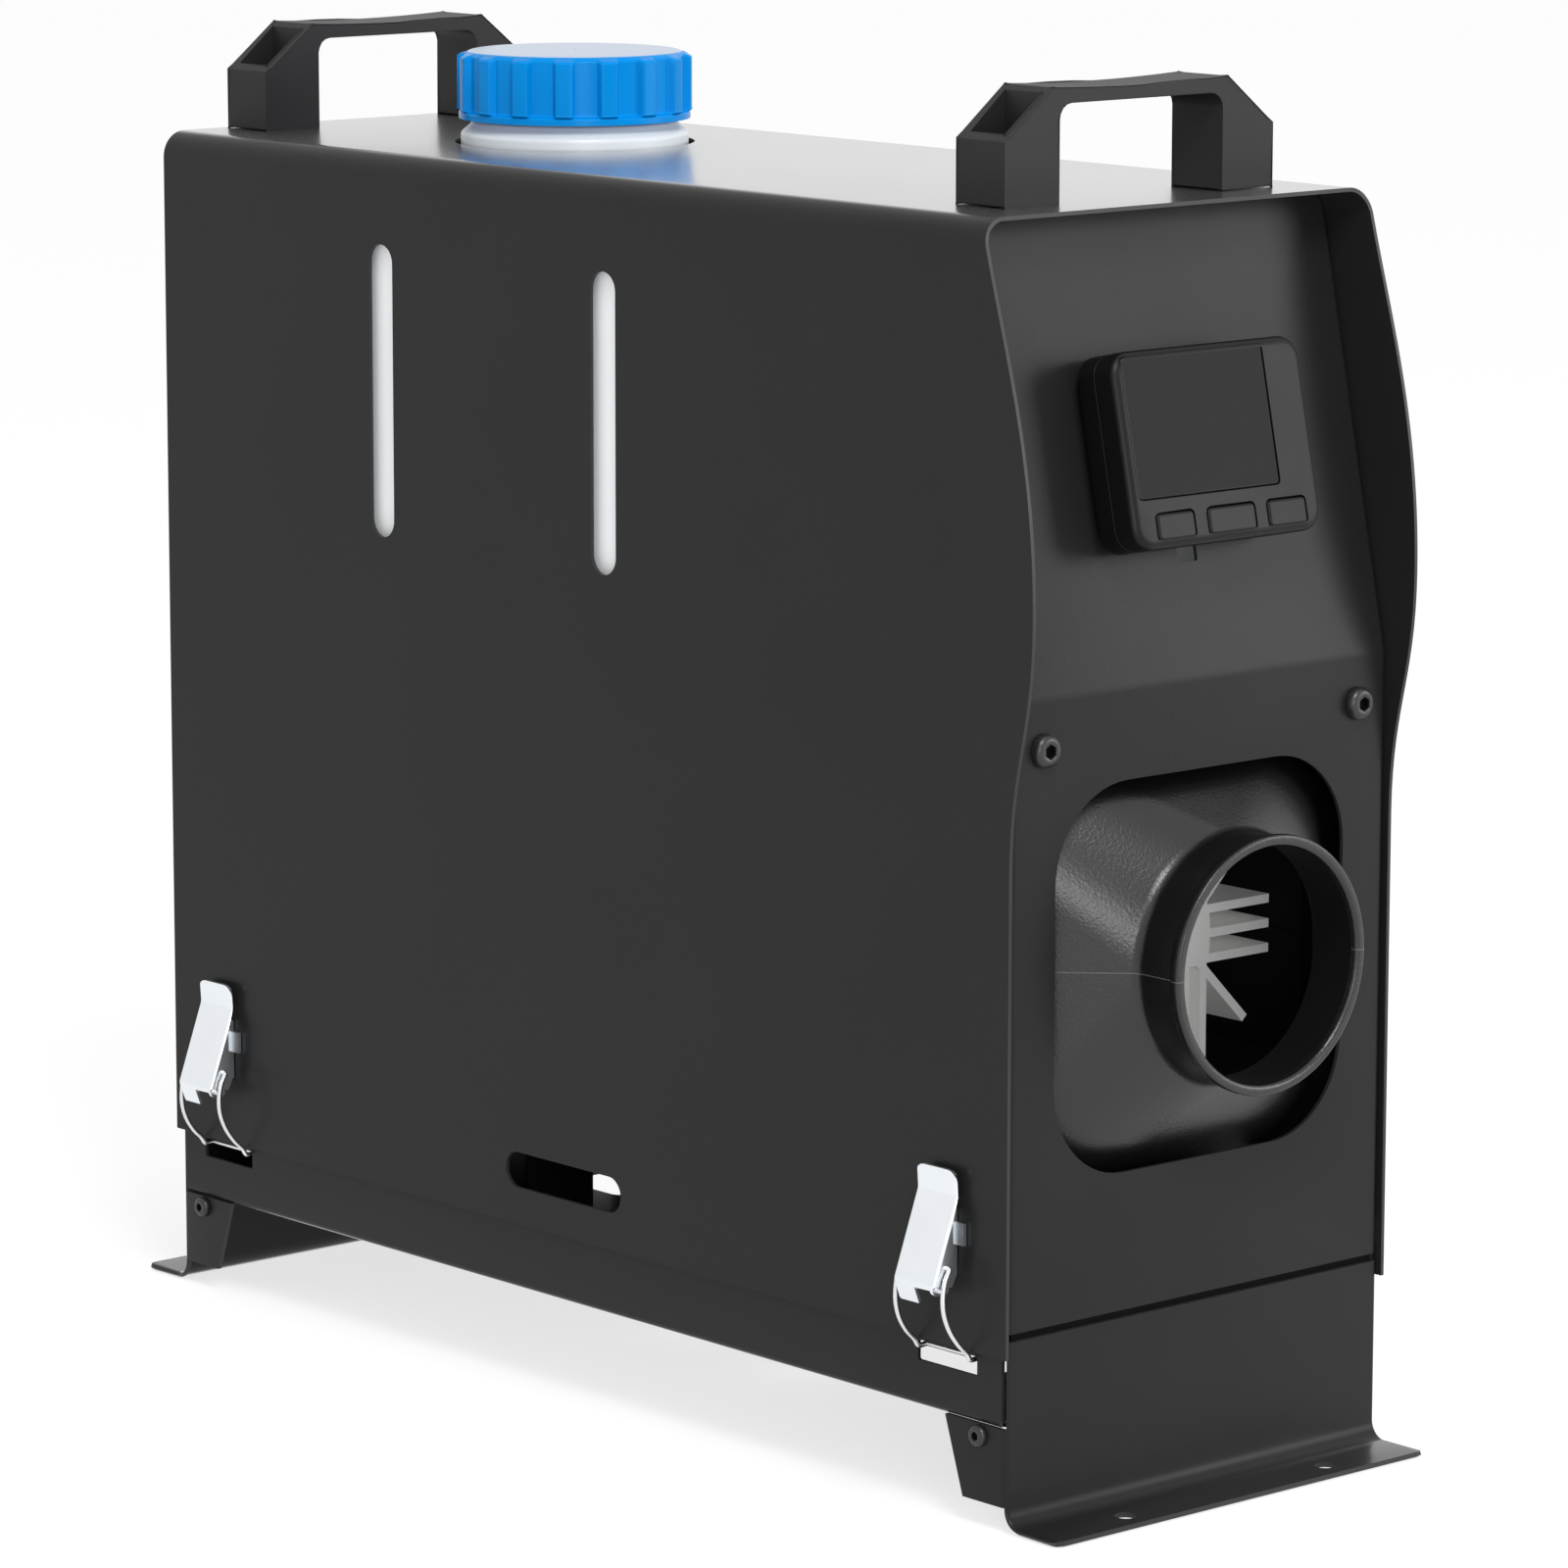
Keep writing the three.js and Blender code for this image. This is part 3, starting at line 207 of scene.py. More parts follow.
# Place and heading at each distance along a path. A move is (length, turn in radians).
# A straight move adds distance times (cos, sin) of the heading. A bend has radius length / turn, and
# its place is the start plus radius times the change of (sin, -cos) of the heading.
def follow(start, heading, moves, along):
    x, y = start
    out = np.zeros((len(along), 3))
    done = 0.0
    for number, (length, turn) in enumerate(moves):

        # X, Y and heading after a step on this move.
        def after(step):
            if not turn:
                return x + math.cos(heading) * step, y + math.sin(heading) * step, heading + 0 * step
            radius = length / turn
            angle = heading + step / radius
            return (x + radius * (np.sin(angle) - math.sin(heading)),
                    y - radius * (np.cos(angle) - math.cos(heading)), angle)

        step = along - done
        if number > 0:
            step = np.maximum(step, 0)
        if number < len(moves) - 1:
            step = np.minimum(step, length)
        here = (along >= done) | (number == 0)
        out[here] = np.column_stack(after(step))[here]
        x, y, heading = after(length)
        done += length
    return out[:, :2], out[:, 2]


# Points on a circle from one angle to another, in degrees: middle + radius (cos, sin).
def arc(middle, radius, first, last, steps):
    turn = np.radians(np.linspace(first, last, steps))
    return np.stack([middle[0] + radius * np.cos(turn), middle[1] + radius * np.sin(turn)], -1)


# Loop round a rectangle with round corners: four quarter circles, joined.
def roundRect(middle, width, height, corner, steps=8):
    a, b = width / 2 - corner, height / 2 - corner
    return np.vstack([arc((middle[0] + sx * a, middle[1] + sy * b), corner, turn, turn + 90, steps)
                      for sx, sy, turn in ((1, 1, 0), (-1, 1, 90), (-1, -1, 180), (1, -1, 270))])


# Lines across the sheet at even steps between two places, so that it can bend there.
def foldLines(low, high, first, last, steps, upright=False):
    spots = np.linspace(first, last, steps)
    if upright:
        return [((spot, low), (spot, high)) for spot in spots]
    return [((low, spot), (high, spot)) for spot in spots]


# Fold lines through the bends on both sides of a sheet.
def bendLines(low, high, half, bend, steps, upright=False):
    lines = []
    for sign in (1, -1):
        lines += foldLines(low, high, sign * (half - bend), sign * (half - bend + bend * math.pi / 2), steps,
                           upright)
    return lines


# Both sides of a flat sheet turned square. Past the flat half, the place grows by radius sin(angle)
# and the depth by radius (1 - cos(angle)). What is left after the bend is depth.
def bent(flat, half, bend):
    past = np.abs(flat) - (half - bend)
    around = np.clip(past, 0, bend * math.pi / 2) / bend
    spot = np.sign(flat) * (np.minimum(np.abs(flat), half - bend) + bend * np.sin(around))
    return spot, bend * (1 - np.cos(around)) + np.clip(past - bend * math.pi / 2, 0, None)


# Finishes. Every pattern is on object coordinates, so its grain has the same size on each piece.
finish = {
    "bumpDepth": 0.0001, "throughReach": 0.004, "seamHalf": 0.00014, "seamTone": 0.07,
    "sheenRough": 0.22, "sheenFrom": 0.66, "sheenTo": 0.95,
}


# One shader node, its settings and the values of its own sockets.
def addNode(tree, kind, sockets=(), **settings):
    made = tree.nodes.new("ShaderNode" + kind)
    for name, value in settings.items():
        setattr(made, name, value)
    for name, value in dict(sockets).items():
        made.inputs[name].default_value = value
    return made


# Links between shader nodes, each as (from, its output, to, its input).
def join(tree, *links):
    for source, output, target, socket in links:
        tree.links.new(source.outputs[output], target.inputs[socket])


# A finish in object metres: slow noise moves colour and roughness, fine noise is the grain.
# graze adds a satin layer that grows towards the edge of sight, seam a pale parting line at one height.
def principled(name, colour, roughness, metallic=0.0, specular=0.5, spread=0.06, grain=0.0, grainSize=0.4,
               blotch=0.12, blotchSize=60.0, through=0.0, glow=0.0, graze=0.0, seam=None):
    made = bpy.data.materials.new(name)
    made.use_nodes = True
    tree = made.node_tree
    shader = tree.nodes["Principled BSDF"]
    values = {"Metallic": metallic, "Specular IOR Level": specular, "Emission Color": (*colour, 1),
              "Emission Strength": glow}
    if through:
        values |= {"Subsurface Weight": through, "Subsurface Radius": (finish["throughReach"],) * 3,
                   "Subsurface Scale": 1.0}
    for socket, value in values.items():
        shader.inputs[socket].default_value = value
    where = addNode(tree, "TexCoord")
    slow = addNode(tree, "TexNoise", {"Scale": 1000.0 / blotchSize, "Detail": 3.0})
    shade = addNode(tree, "MapRange", {"To Min": 1 - blotch, "To Max": 1 + blotch})
    tint = addNode(tree, "Mix", {"Factor": 1.0, 6: (*colour, 1)}, data_type="RGBA", blend_type="MULTIPLY")
    rough = addNode(tree, "MapRange", {"To Min": roughness - spread, "To Max": roughness + spread})
    join(tree, (where, "Object", slow, "Vector"), (slow, "Fac", shade, "Value"), (shade, "Result", tint, 7),
         (tint, 2, shader, "Base Color"), (slow, "Fac", rough, "Value"),
         (rough, "Result", shader, "Roughness"))
    if grain:
        fine = addNode(tree, "TexNoise", {"Scale": 1000.0 / grainSize, "Detail": 2.0})
        bump = addNode(tree, "Bump", {"Strength": grain, "Distance": finish["bumpDepth"]})
        join(tree, (where, "Object", fine, "Vector"), (fine, "Fac", bump, "Height"),
             (bump, "Normal", shader, "Normal"))
    if seam:
        parts = addNode(tree, "SeparateXYZ")
        near = addNode(tree, "Math", {1: seam, 2: finish["seamHalf"]}, operation="COMPARE")
        line = addNode(tree, "Mix", {7: (*(finish["seamTone"],) * 3, 1)}, data_type="RGBA")
        join(tree, (where, "Object", parts, 0), (parts, "Z", near, 0), (near, 0, line, "Factor"),
             (tint, 2, line, 6), (line, 2, shader, "Base Color"))
    if graze:
        gloss = addNode(tree, "BsdfGlossy", {"Roughness": finish["sheenRough"]})
        facing = addNode(tree, "LayerWeight", {"Blend": 0.5})
        share = addNode(tree, "MapRange", {"From Min": finish["sheenFrom"], "From Max": finish["sheenTo"],
                                           "To Max": graze}, interpolation_type="SMOOTHSTEP")
        mix = addNode(tree, "MixShader")
        join(tree, (facing, "Facing", share, "Value"), (share, "Result", mix, "Fac"), (shader, 0, mix, 1),
             (gloss, 0, mix, 2), (mix, 0, tree.nodes["Material Output"], "Surface"))
    return made


paint = principled("black powder coat", (0.0135, 0.0137, 0.0143), 0.34, specular=0.14, grain=0.3,
                   grainSize=0.8, graze=0.92)
# A lighter, glossier coat for edges: on the sheet rims partly wear and partly a painted highlight, on the
# screen's chamfer a painted glint.
edgeWearAndHighlight = principled("powder coat edge", (0.022, 0.022, 0.023), 0.4, specular=0.3, grain=0.2)
moulded = principled("moulded black plastic", (0.0042, 0.0042, 0.0045), 0.3, specular=0.6, grain=0.9,
                     grainSize=0.9, seam=0.1585)
# The inside of the nozzle is a darker, duller copy of the moulding: painted shade in the bore.
mouldedShadeInside = principled("nozzle inside", (0.0025, 0.0025, 0.0027), 0.7, specular=0.1, grain=0.4,
                           grainSize=0.9)
casingPlastic = principled("casing plastic", (0.004, 0.004, 0.0042), 0.6, specular=0.12, grain=0.3)
handlePlastic = principled("handle plastic", (0.017, 0.017, 0.018), 0.5, specular=0.2, grain=0.35,
                           grainSize=0.6)
controlPlastic = principled("controller plastic", (0.0045, 0.0045, 0.005), 0.4, specular=0.2, grain=0.2,
                            grainSize=0.5)
bluePlastic = principled("blue cap plastic", (0.0003, 0.235, 0.66), 0.22, specular=0.06, spread=0.04,
                         blotch=0.05)
blueTop = principled("blue cap top", (0.002, 0.25, 0.66), 0.3, specular=0.2, spread=0.04, blotch=0.05,
                     graze=0.72)
# The tank gives off a little of its own colour as painted light, so it reads bright behind the slots in the
# cover.
milky = principled("milky tank plastic", (0.86, 0.88, 0.90), 0.38, through=0.25, spread=0.03,
                   blotch=0.05, glow=0.06)
ringPlastic = principled("milky ring plastic", (0.66, 0.70, 0.745), 0.34, through=0.15, spread=0.03,
                         blotch=0.05)
zinc = principled("bright zinc", (0.80, 0.83, 0.86), 0.3, metallic=1.0, blotch=0.04, blotchSize=12)
aluminium = principled("cast aluminium", (0.86, 0.86, 0.85), 0.45, metallic=0.35, grain=0.5, grainSize=0.7)
steel = principled("drawn steel", (0.72, 0.73, 0.74), 0.25, metallic=1.0, blotchSize=20)
darkScrew = principled("black oxide steel", (0.045, 0.045, 0.047), 0.32, metallic=0.7, grain=0.15)
rubber = principled("black rubber", (0.014, 0.014, 0.014), 0.65, specular=0.3, grain=0.3)
smoked = principled("smoked window", (0.0085, 0.0085, 0.0095), 0.6, specular=0.18, spread=0.03, blotch=0.05)
# The heat exchanger gives off a little of its own colour as painted light, so its fins read bright inside the
# case.
machinedWithGlow = principled("machined aluminium", (0.80, 0.80, 0.79), 0.42, metallic=0.3, grain=0.9,
                      grainSize=0.6, glow=0.06)
circuit = principled("circuit board", (0.02, 0.13, 0.05), 0.4, grain=0.3, grainSize=1.5)
# A near-black laid as painted shade where light hardly reaches: the floors of the controller's screen recess
# and key holes, the screw sockets, and the tray's end walls behind foot and panel.
paintedShade = principled("shadowed gap", (0.002, 0.002, 0.002), 0.8, specular=0.1)

finishes = {
    "black_paint": paint, "black_plastic": moulded, "blue_plastic": bluePlastic, "milky_plastic": milky,
    "zinc_plate": zinc, "cast_aluminium": aluminium, "bare_steel": steel, "dark_screw": darkScrew,
    "black_rubber": rubber, "smoked_window": smoked, "circuit_board": circuit,
}
for entry in frame["record"]["subparts"]:
    node = frame["nodes"].get(entry["node"])
    if node is not None:
        node.data.materials.clear()
        node.data.materials.append(finishes[entry["material_slot"]])
for node, own in {"heat_exchanger": machinedWithGlow, "lower_casing": casingPlastic,
                  "upper_casing": casingPlastic}.items():
    frame["nodes"][node].data.materials[0] = own
print("materials done")

# Cover: one sheet over the top and both sides, whose front edge swells into a visor.
cover = {
    "rear": -195.5, "front": 195.7, "face": 76.4, "top": 371.9, "bottom": 50.8, "bend": 8.0, "sheet": 1.2,
    "visorFoot": 190.0, "visorCrest": 262.0, "visorFront": 204.5, "visorTop": 182.6,
    "slots": (-85.3, 20.0), "slotWidth": 11.4, "slotLow": 254.8, "slotHigh": 344.6,
    "lowSlot": (54.3, 11.0, 67.7), "filler": -84.8, "fillerHole": 37.2,
}


# Cubic curve from a to d, drawn towards b and c, with weights (1-t)^3, 3t(1-t)^2, 3t^2(1-t), t^3.
def bezier(a, b, c, d, steps=16):
    t = np.linspace(0, 1, steps)[:, None]
    a, b, c, d = (np.array(p, float) for p in (a, b, c, d))
    return (1 - t) ** 3 * a + 3 * t * (1 - t) ** 2 * b + 3 * t ** 2 * (1 - t) * c + t ** 3 * d


# Distance from the ridge to a height on the side: the flat half, then bend radius times angle,
# then what hangs straight below.
def coverFlat(height):
    bend, flatHalf = cover["bend"], cover["face"] - cover["bend"]
    below = cover["top"] - bend - height
    onBend = flatHalf + bend * np.arccos(np.clip(-below / bend, 0, 1))
    return np.where(below > 0, flatHalf + bend * np.pi / 2 + below, onBend)


# The flat sheet is X along the case and the distance over it, which the bends turn down.
def makeCover():
    c = cover
    lower = bezier((c["front"], c["visorFoot"]), (c["front"], 222), (c["visorFront"], 230),
                   (c["visorFront"], c["visorCrest"]))
    upper = bezier((c["visorFront"], c["visorCrest"]), (c["visorFront"], 310), (190, 339.9),
                   (c["visorTop"], c["top"]), 32)
    edge = np.vstack([[(c["front"], c["bottom"])], lower, upper[1:]])
    side = np.stack([edge[:, 0], coverFlat(edge[:, 1])], -1)
    low = coverFlat(c["bottom"])
    outline = np.vstack([side * (1, -1), side[::-1], [(c["rear"], low), (c["rear"], -low)]])
    holes = [arc((c["filler"], 0), c["fillerHole"], 0, 354.4, 64)]
    for sign in (1, -1):
        for x in c["slots"]:
            middle = coverFlat((c["slotLow"] + c["slotHigh"]) / 2)
            holes.append(roundRect((x, sign * middle), c["slotWidth"], c["slotHigh"] - c["slotLow"],
                                   c["slotWidth"] / 2 - 0.01, 9))
        length, height, z = c["lowSlot"]
        holes.append(roundRect((0, sign * coverFlat(z)), length, height, height / 2 - 0.01, 9))
    folds = bendLines(c["rear"] - 5, c["visorFront"] + 5, c["face"], c["bend"], 13)
    flat, triangles = cutSheet(outline, holes, folds)
    y, depth = bent(flat[:, 1], c["face"], c["bend"])
    build("cover_sheet", np.stack([flat[:, 0], y, c["top"] - depth], -1), triangles, [paint, edgeWearAndHighlight],
          stands=["cover"], sheet=c["sheet"], edge=0.22)


makeCover()
print("cover done")


# Front and rear panels, and the feet, are folded plates.
# A plate whose middle follows a path in X and Z and whose sides fold back along -X. The flat sheet is
# the distance across (Y) and the distance along the path. Depth is set off square to the path.
def foldedPlate(name, path, half, bend, outline, holes, folds, stands, sheet=1.2, turn=1):
    low, high = outline[:, 1].min() - 2, outline[:, 1].max() + 2
    flat, triangles = cutSheet(outline, holes, folds + bendLines(low, high, half, bend, 6, upright=True))
    y, depth = bent(flat[:, 0], half, bend)
    spot, facing = follow(*path, flat[:, 1])
    x = spot[:, 0] - depth * np.sin(facing)
    z = spot[:, 1] + depth * np.cos(facing)
    build(name, np.stack([turn * x, turn * y, z], -1), triangles, [paint, edgeWearAndHighlight], stands=stands,
          sheet=sheet, edge=0.2)


# Distance across the flat sheet of a place at a depth on the folded side.
def flatAcross(half, bend, depth):
    return half - bend + bend * np.pi / 2 + depth - bend


panel = {
    "face": 194.5, "half": 74.6, "bend": 2.0, "low": 57.7, "knee": 238.0, "kneeRadius": 14.0, "lean": 12.2,
    "top": 370.2, "return": 9.0, "returnLow": 69.0, "corner": 8.0,
    "opening": (0, 154.8, 115.0, 113.5, 28.0), "notch": (3.8, 270.0, 274.5), "cable": (42.0, 84.0, 9.0),
}


# Outline of a panel's flat sheet: narrow at the foot, returns to their own width, round corners above.
def panelOutline(height, wide):
    p = panel
    low = p["returnLow"] - p["low"]
    shoulder = height - p["corner"]
    return bothHalves(np.vstack([
        [(p["half"] - 0.6, 0), (p["half"] - 0.6, low), (wide, low), (wide, shoulder),
         (p["half"] - 0.4, shoulder + 1)],
        arc((p["half"] - p["corner"], shoulder), p["corner"] - 0.4, 8, 90, 8)]))


# Front panel: upright, a knee, then leaning back. Rear panel: upright, turned half round.
def makePanels():
    p = panel
    lean = math.radians(p["lean"])
    wide = flatAcross(p["half"], p["bend"], p["return"])
    kneeLength = p["kneeRadius"] * lean
    flatKnee = p["knee"] - p["low"] - p["kneeRadius"] * math.tan(lean / 2)
    slope = (p["top"] - p["knee"]) / math.cos(lean) - p["kneeRadius"] * math.tan(lean / 2)
    path = ((p["face"], p["low"]), math.pi / 2, [(flatKnee, 0), (kneeLength, lean), (slope, 0)])
    height = flatKnee + kneeLength + slope
    x, z, width, tall, corner = p["opening"]
    opening = roundRect((x, z - p["low"]), width, tall, corner, 14)
    halfNotch, notchLow, notchHigh = p["notch"]
    rise = flatKnee + kneeLength / 2 - (p["knee"] - p["low"])
    notch = roundRect((0, (notchLow + notchHigh) / 2 - p["low"] + rise + 0.8), 2 * halfNotch,
                      notchHigh - notchLow, 0.8, 4)
    knee = foldLines(-wide - 2, wide + 2, flatKnee, flatKnee + kneeLength, 6)
    foldedPlate("front_panel_sheet", path, p["half"], p["bend"], panelOutline(height, wide),
                [opening, notch], knee, ["front_panel"])
    shorter = p["top"] - p["low"]
    upright = ((p["face"], p["low"]), math.pi / 2, [(shorter, 0)])
    y, z, radius = p["cable"]
    cable = arc((-y, z - p["low"]), radius, 0, 350, 36)
    foldedPlate("rear_panel_sheet", upright, p["half"], p["bend"], panelOutline(shorter, wide),
                [opening, cable], [], ["rear_panel"], turn=-1)


makePanels()

foot = {
    "tip": 215.4, "face": 194.5, "half": 74.9, "bend": 5.0, "side": 1.8, "sheet": 1.5, "clear": 0.35,
    "top": 55.0, "bolt": (207.8, 40.5, 3.25), "gusset": ((25.5, 29.7), (18.0, 6.9)), "corner": 4.0,
}


# A foot runs back along the floor, bends up and stands under the panel, with a gusset a side.
def makeFoot(name, stands, turn):
    f = foot
    flange = f["tip"] - f["face"] - f["bend"]
    curve = f["bend"] * math.pi / 2
    path = ((f["tip"], f["sheet"] + f["clear"]), math.pi, [(flange, 0), (curve, -math.pi / 2), (f["top"], 0)])
    zero = flange + curve - f["bend"] - f["sheet"]  # distance along the sheet at height 0 of the upright
    (deepTop, highZ), (deepLow, lowZ) = f["gusset"]
    reach = [flatAcross(f["half"], f["side"], depth) for depth in (deepLow, deepTop)]
    high = zero + f["top"]
    right = np.vstack([
        arc((f["half"] - f["corner"], f["corner"]), f["corner"], -90, 0, 6),
        [(f["half"], zero + lowZ), (reach[0], zero + lowZ), (reach[1], zero + highZ),
         (f["half"] - 0.4, zero + highZ), (f["half"] - 0.4, high)],
    ])
    x, y, radius = f["bolt"]
    holes = [arc((sign * y, f["tip"] - x), radius, 0, 345, 24) for sign in (1, -1)]
    folds = foldLines(-90, 90, flange, flange + curve, 10)
    foldedPlate(name, path, f["half"], f["side"], bothHalves(right), holes, folds, stands, sheet=f["sheet"],
                turn=turn)


makeFoot("front_foot_plate", ["front_foot"], 1)
makeFoot("rear_foot_plate", ["rear_foot"], -1)
print("panels and feet done")

# Outlet nozzle.
nozzle = {
    "count": 96, "soft": 2.2, "softSteps": 5, "bore": 34.1,
    # distance along X, half size, corner radius, height of the middle
    "rows": [(176.3, 62, 30, 153), (181.6, 62, 30, 153), (184.6, 58.5, 30, 153), (206.2, 36.3, 36.3, 158.5),
             (219.6, 36.3, 36.3, 158.5), (220.6, 37.5, 37.5, 158.5), (223.4, 37.5, 37.5, 158.5),
             (223.4, 34.1, 34.1, 158.5), (205.8, 34.1, 34.1, 158.5), (184.0, 56.2, 28, 153),
             (181.3, 59.8, 28, 153), (176.3, 59.8, 28, 153)],
}


# Rounded squares along X that shrink to circles, out over the rim and back along the inside.
def makeNozzle():
    n = nozzle
    rows = smoothCorners(n["rows"], n["soft"], n["softSteps"])
    rings = []
    for x, half, corner, middle in rows:
        loop = roundedSquare(n["count"], half, corner)
        rings.append(np.stack([np.full(len(loop), x), loop[:, 0], loop[:, 1] + middle], -1))
    rings = np.array(rings)
    # Rows from the bore inwards get that painted shade.
    firstInside = np.flatnonzero(np.abs(rows[:, 1] - n["bore"]) < 0.01)[0]
    slots = np.repeat(np.arange(len(rows)) >= firstInside, rings.shape[1])
    build("outlet_nozzle_moulding", rings.reshape(-1, 3), roundTrip(rings), [moulded, mouldedShadeInside],
          stands=["outlet_nozzle"], slots=slots, flip=True)


makeNozzle()
print("nozzle done")

# Filler cap and the ring under it.
cap = {
    "centre": -84.8, "rim": 35.9, "radius": 34.3, "low": 379.3, "top": 400.2, "wall": 2.4, "roof": 3.4,
    "ribs": 16, "ribOut": 2.1, "ribWidth": 5.6, "pointsPerRib": 32, "pole": 0.5, "soft": 0.7,
    "ribFoot": (2.2, 0.4), "ribHead": (0.9, 1.2),  # where a rib fades out at each end, and over how far
}


# A profile turned about the cap's axis, outside and then inside.
def makeCap():
    c = cap
    high = c["top"]
    outside = smoothCorners([(c["rim"], c["low"]), (c["rim"], c["low"] + 2.1), (c["radius"], c["low"] + 2.6),
                             (c["radius"], high - 3.4), (c["radius"], high - 2.4), (c["radius"], high - 1.5),
                             (c["radius"] - 1.5, high - 0.25), (c["radius"] - 8, high - 0.1), (16, high),
                             (c["pole"], high)], c["soft"], 4)
    bore = c["radius"] - c["wall"]
    insides = np.array([(c["pole"], high - c["roof"]), (bore, high - c["roof"]), (bore, c["low"])])

    # A rib lifts a band of the angle, with sides 3b^2 - 2b^3 of the distance b from its middle.
    def ribs(angle, radius, height):
        pitch = 2 * np.pi / c["ribs"]
        off = np.abs((angle + pitch / 2) % pitch - pitch / 2) * c["radius"]
        band = np.clip(c["ribWidth"] / 2 + 0.5 - off, 0, 1)
        band = band * band * (3 - 2 * band)
        (foot, footFade), (head, headFade) = c["ribFoot"], c["ribHead"]
        rise = np.clip((height - (c["low"] + foot)) / footFade, 0, 1)
        rise = rise * np.clip((high - head - height) / headFade, 0, 1) ** 0.5
        outer = np.clip((radius - (c["radius"] - 3)) / 2, 0, 1)
        return c["ribOut"] * band * rise * outer

    count = c["ribs"] * c["pointsPerRib"]
    rings = np.vstack([revolve(outside, count, ribs), revolve(insides, count)])
    points = rings.reshape(-1, 3) + (c["centre"], 0, 0)
    onTop = np.concatenate([outside[:, 0] < c["radius"] - 1.2, np.zeros(len(insides), bool)])
    build("filler_cap", points, roundTrip(rings), [bluePlastic, blueTop], body="cap",
          stands=["tank_cap"], slots=np.repeat(onTop, count))


ring = {
    "count": 128, "soft": 0.9,
    "profile": [(28.8, 367.7), (35.3, 367.7), (35.3, 374.8), (32.4, 377.2), (31.6, 378.7), (28.8, 378.7),
                (28.8, 367.7)],
}


# The ring on the tank's neck, a closed profile turned about the same axis.
def makeRing():
    rings = revolve(smoothCorners(ring["profile"], ring["soft"], 4)[:-1], ring["count"])
    points = rings.reshape(-1, 3) + (cap["centre"], 0, 0)
    build("neck_ring", points, roundTrip(rings), [ringPlastic], stands=["neck_ring"])


makeCap()
makeRing()
print("cap and ring done")

# Handles.
handle = {
    "front": 156.7, "rear": -183.0, "wide": 20.0, "half": 52.5, "base": 372.2, "shoulder": 390.5,
    "top": 404.9, "flat": 34.2, "inner": 32.1, "under": 400.2, "round": 4.5, "sag": 0.9, "edge": 0.9,
    "pocket": (7.4, 36.6, 50.4, 378.0),  # half depth along X, inner and outer Y, floor
}


# A handle is its side outline drawn out along X, with a square pocket sunk in each slope.
def makeHandle(name, middle, stands):
    h = handle
    pocketHalf, pocketInner, pocketOuter, floor = h["pocket"]
    slope = (h["top"] - h["shoulder"]) / (h["flat"] - h["half"])
    mouthZ = [h["shoulder"] + slope * (y - h["half"]) for y in (pocketOuter, pocketInner)]
    across = np.linspace(h["flat"], -h["flat"], 9)
    top = np.stack([across, h["top"] - h["sag"] * (1 - (across / h["flat"]) ** 2)], -1)
    right = np.array([(h["inner"], h["base"]), (h["half"], h["base"]), (h["half"], h["shoulder"]),
                      (pocketOuter, mouthZ[0]), (pocketInner, mouthZ[1])])
    grip = arc((h["inner"] - h["round"], h["under"] - h["round"]), h["round"], 90, 0, 5)
    loop = np.vstack([right, top, (right * (-1, 1))[::-1], (grip * (-1, 1))[::-1], grip])
    pocket = np.array([(pocketOuter, mouthZ[0]), (pocketInner, mouthZ[1]), (pocketInner, floor),
                       (pocketOuter, floor)])
    levels = np.array([-h["wide"] / 2, -pocketHalf, pocketHalf, h["wide"] / 2])
    flat, triangles = cutSheet(loop)
    points, faces = [], []

    # Adds points and faces to what is there.
    def put(newPoints, newFaces):
        start = sum(len(p) for p in points)
        points.append(newPoints)
        faces.extend((np.asarray(newFaces) + start).tolist())

    # One flat face of the outline or the pocket, at a depth along X.
    def sideFace(level, turned, source, corners):
        spots = np.column_stack([np.full(len(source), middle + level), source])
        put(spots, corners[:, ::-1] if turned else corners)

    # One face along X on the line from a to b.
    def strip(a, b, low, high, order):
        put(np.array([(middle + low, *a), (middle + low, *b), (middle + high, *b), (middle + high, *a)]),
            [order])

    outwards, inwards = [3, 2, 1, 0], [0, 1, 2, 3]
    sideFace(levels[0], True, flat, triangles)
    sideFace(levels[3], False, flat, triangles)
    mouths = [(right[3], right[4]), (right[4] * (-1, 1), right[3] * (-1, 1))]
    for a, b in zip(loop, np.roll(loop, -1, axis=0)):
        isMouth = any(np.allclose(a, m) and np.allclose(b, n) for m, n in mouths)
        for low, high in zip(levels[:-1], levels[1:]):
            if not (isMouth and low == levels[1]):
                strip(a, b, low, high, outwards)
    for sign in (1, -1):
        p = pocket * (sign, 1)
        for level, turned in ((levels[1], sign < 0), (levels[2], sign > 0)):
            sideFace(level, turned, p, np.array([[0, 1, 2], [0, 2, 3]]))
        for a, b in zip(p[1:], np.roll(p, -1, axis=0)[1:]):
            strip(a, b, levels[1], levels[2], outwards if sign > 0 else inwards)
    points, faces = merged(np.vstack(points), faces)
    build(name, points, faces, [handlePlastic], stands=stands,
          edge=h["edge"], steps=3)


makeHandle("front_grip", handle["front"], ["handle_front"])
makeHandle("rear_grip", handle["rear"], ["handle_rear"])
print("handles done")

